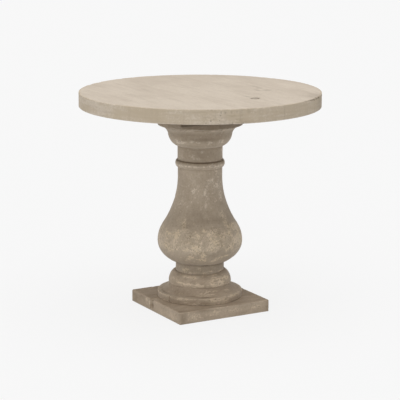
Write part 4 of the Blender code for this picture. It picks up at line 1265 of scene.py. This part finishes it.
make_turned("column", column_profile(), turned_finish, COLUMN_WEAR, seed=11)
make_turned("capital_bowl", bowl_profile(), turned_finish, BOWL_WEAR, seed=23)
make_turned("base_ring", ring_profile(), foot_finish, RING_WEAR, seed=37)
foot_core = core_outline(FOOT_TOP, foot_low.z, spigot=False)
capital_core = core_outline(capital_high.z, CAPITAL_BASE, socket=False)
for number, front in ((1, True), (2, False)):
    make_disc_board(f"foot_disc_{number}", foot_profile(), front, None if front else foot_core,
                    foot_finish, FOOT_WEAR, seed=41)
    make_disc_board(f"capital_disc_{number}", capital_profile(), front, None if front else capital_core,
                    turned_finish, CAPITAL_WEAR, seed=53)
    make_plinth_board(f"plinth_board_{number}", front, plinth_finish, seed=67 + number)
for name in TOP_BOARDS:
    make_top_board(name, top_finish, seed=101)

# Finishes of the solids that stay
KEPT_FINISHES = {"plinth_wood": shadowed_block_finish, "plain_wood": hidden_finish, "steel": steel_finish}
for part in frame["record"]["subparts"]:
    solid = frame["nodes"][part["node"]]
    if not solid.hide_render:
        solid.data.materials.clear()
        solid.data.materials.append(KEPT_FINISHES[part["material_slot"]].material)


# Camera

CAMERA_PLACE = (-2.1812, -3.8230, 1.24852)
CAMERA_TURN, CAMERA_DIP, CAMERA_ROLL = 29.70854, 12.13057, 0.143841
SENSOR_MM, LENS_MM = 36.0, 147.0767
camera_data = bpy.data.cameras.new("camera")
camera_data.sensor_width = SENSOR_MM
camera_data.lens = LENS_MM
camera = bpy.data.objects.new("camera", camera_data)
camera.matrix_world = (Matrix.Translation(CAMERA_PLACE)
                       @ Matrix.Rotation(math.radians(-CAMERA_TURN), 4, "Z")
                       @ Matrix.Rotation(math.radians(90.0 - CAMERA_DIP), 4, "X")
                       @ Matrix.Rotation(math.radians(CAMERA_ROLL), 4, "Z"))
bpy.context.scene.collection.objects.link(camera)
bpy.context.scene.camera = camera


# Stage

BACKGROUND = 0.938
SKY_LIGHT = 0.40
FLOOR_COLOUR = 0.88
FLOOR_BOUNCE = 0.70
FLOOR_REACH = 30.0
FLOOR_LEVEL = -0.0004
SHADOW_SHARE = 0.11
LAMP_SPREAD = 70.0


def add_lamp(name, share, azimuth, elevation):
    """A soft parallel light that gives a face turned to it the share of plain full light."""
    data = bpy.data.lights.new(name, "SUN")
    data.energy = share * math.pi
    data.angle = math.radians(LAMP_SPREAD)
    lamp = bpy.data.objects.new(name, data)
    lamp.rotation_euler = (math.radians(90.0 - elevation), 0.0, math.radians(azimuth))
    bpy.context.scene.collection.objects.link(lamp)


def seen_directly(finish):
    """1 for what the camera sees, straight or in a reflection or through glass, and 0 for light."""
    path = finish.tree.nodes.new("ShaderNodeLightPath")
    rays = [Wire(finish, path.outputs[name])
            for name in ("Is Camera Ray", "Is Glossy Ray", "Is Transmission Ray")]
    return (rays[0] + rays[1] + rays[2]).step(0.0, 1.0)


def make_floor():
    """A wide pale floor that shows a faint part of the object's shadow."""
    finish = Finish("pale_floor", None)
    seen = seen_directly(finish)
    colour = finish.mix(seen, grey(FLOOR_BOUNCE), grey(FLOOR_COLOUR))
    finish.feed(Base_Color=colour, Roughness=1.0, Specular_IOR_Level=0.0)
    glow = finish.add("ShaderNodeEmission", None, {"Color": grey(BACKGROUND)})
    matt = Wire(finish, finish.shader.outputs["BSDF"])
    blend = finish.add("ShaderNodeMixShader", None, {0: seen * (1.0 - SHADOW_SHARE), 1: matt, 2: glow})
    finish.plug(finish.tree.nodes["Material Output"].inputs["Surface"], blend)
    mesh = bpy.data.meshes.new("floor")
    signs = ((-1, -1), (1, -1), (1, 1), (-1, 1))
    corners = [(x * FLOOR_REACH, y * FLOOR_REACH, FLOOR_LEVEL) for x, y in signs]
    mesh.from_pydata(corners, [], [(0, 1, 2, 3)])
    mesh.materials.append(finish.material)
    floor = bpy.data.objects.new("floor", mesh)
    bpy.context.scene.collection.objects.link(floor)


def make_sky():
    """A plain world: soft light for the object, the pale background for the camera."""
    world = bpy.data.worlds.new("studio")
    world.use_nodes = True
    tree = world.node_tree
    backdrop = tree.nodes["Background"]
    path = tree.nodes.new("ShaderNodeLightPath")
    blend = tree.nodes.new("ShaderNodeMapRange")
    blend.inputs["To Min"].default_value = SKY_LIGHT
    blend.inputs["To Max"].default_value = BACKGROUND
    tree.links.new(path.outputs["Is Camera Ray"], blend.inputs["Value"])
    tree.links.new(blend.outputs[0], backdrop.inputs["Strength"])
    backdrop.inputs["Color"].default_value = grey(1.0)
    bpy.context.scene.world = world


make_floor()
make_sky()
add_lamp("overhead", 0.56, 0.0, 85.0)
add_lamp("front_left", 0.20, -CAMERA_TURN - 36.0, 24.0)
bpy.context.scene.view_settings.view_transform = "Standard"
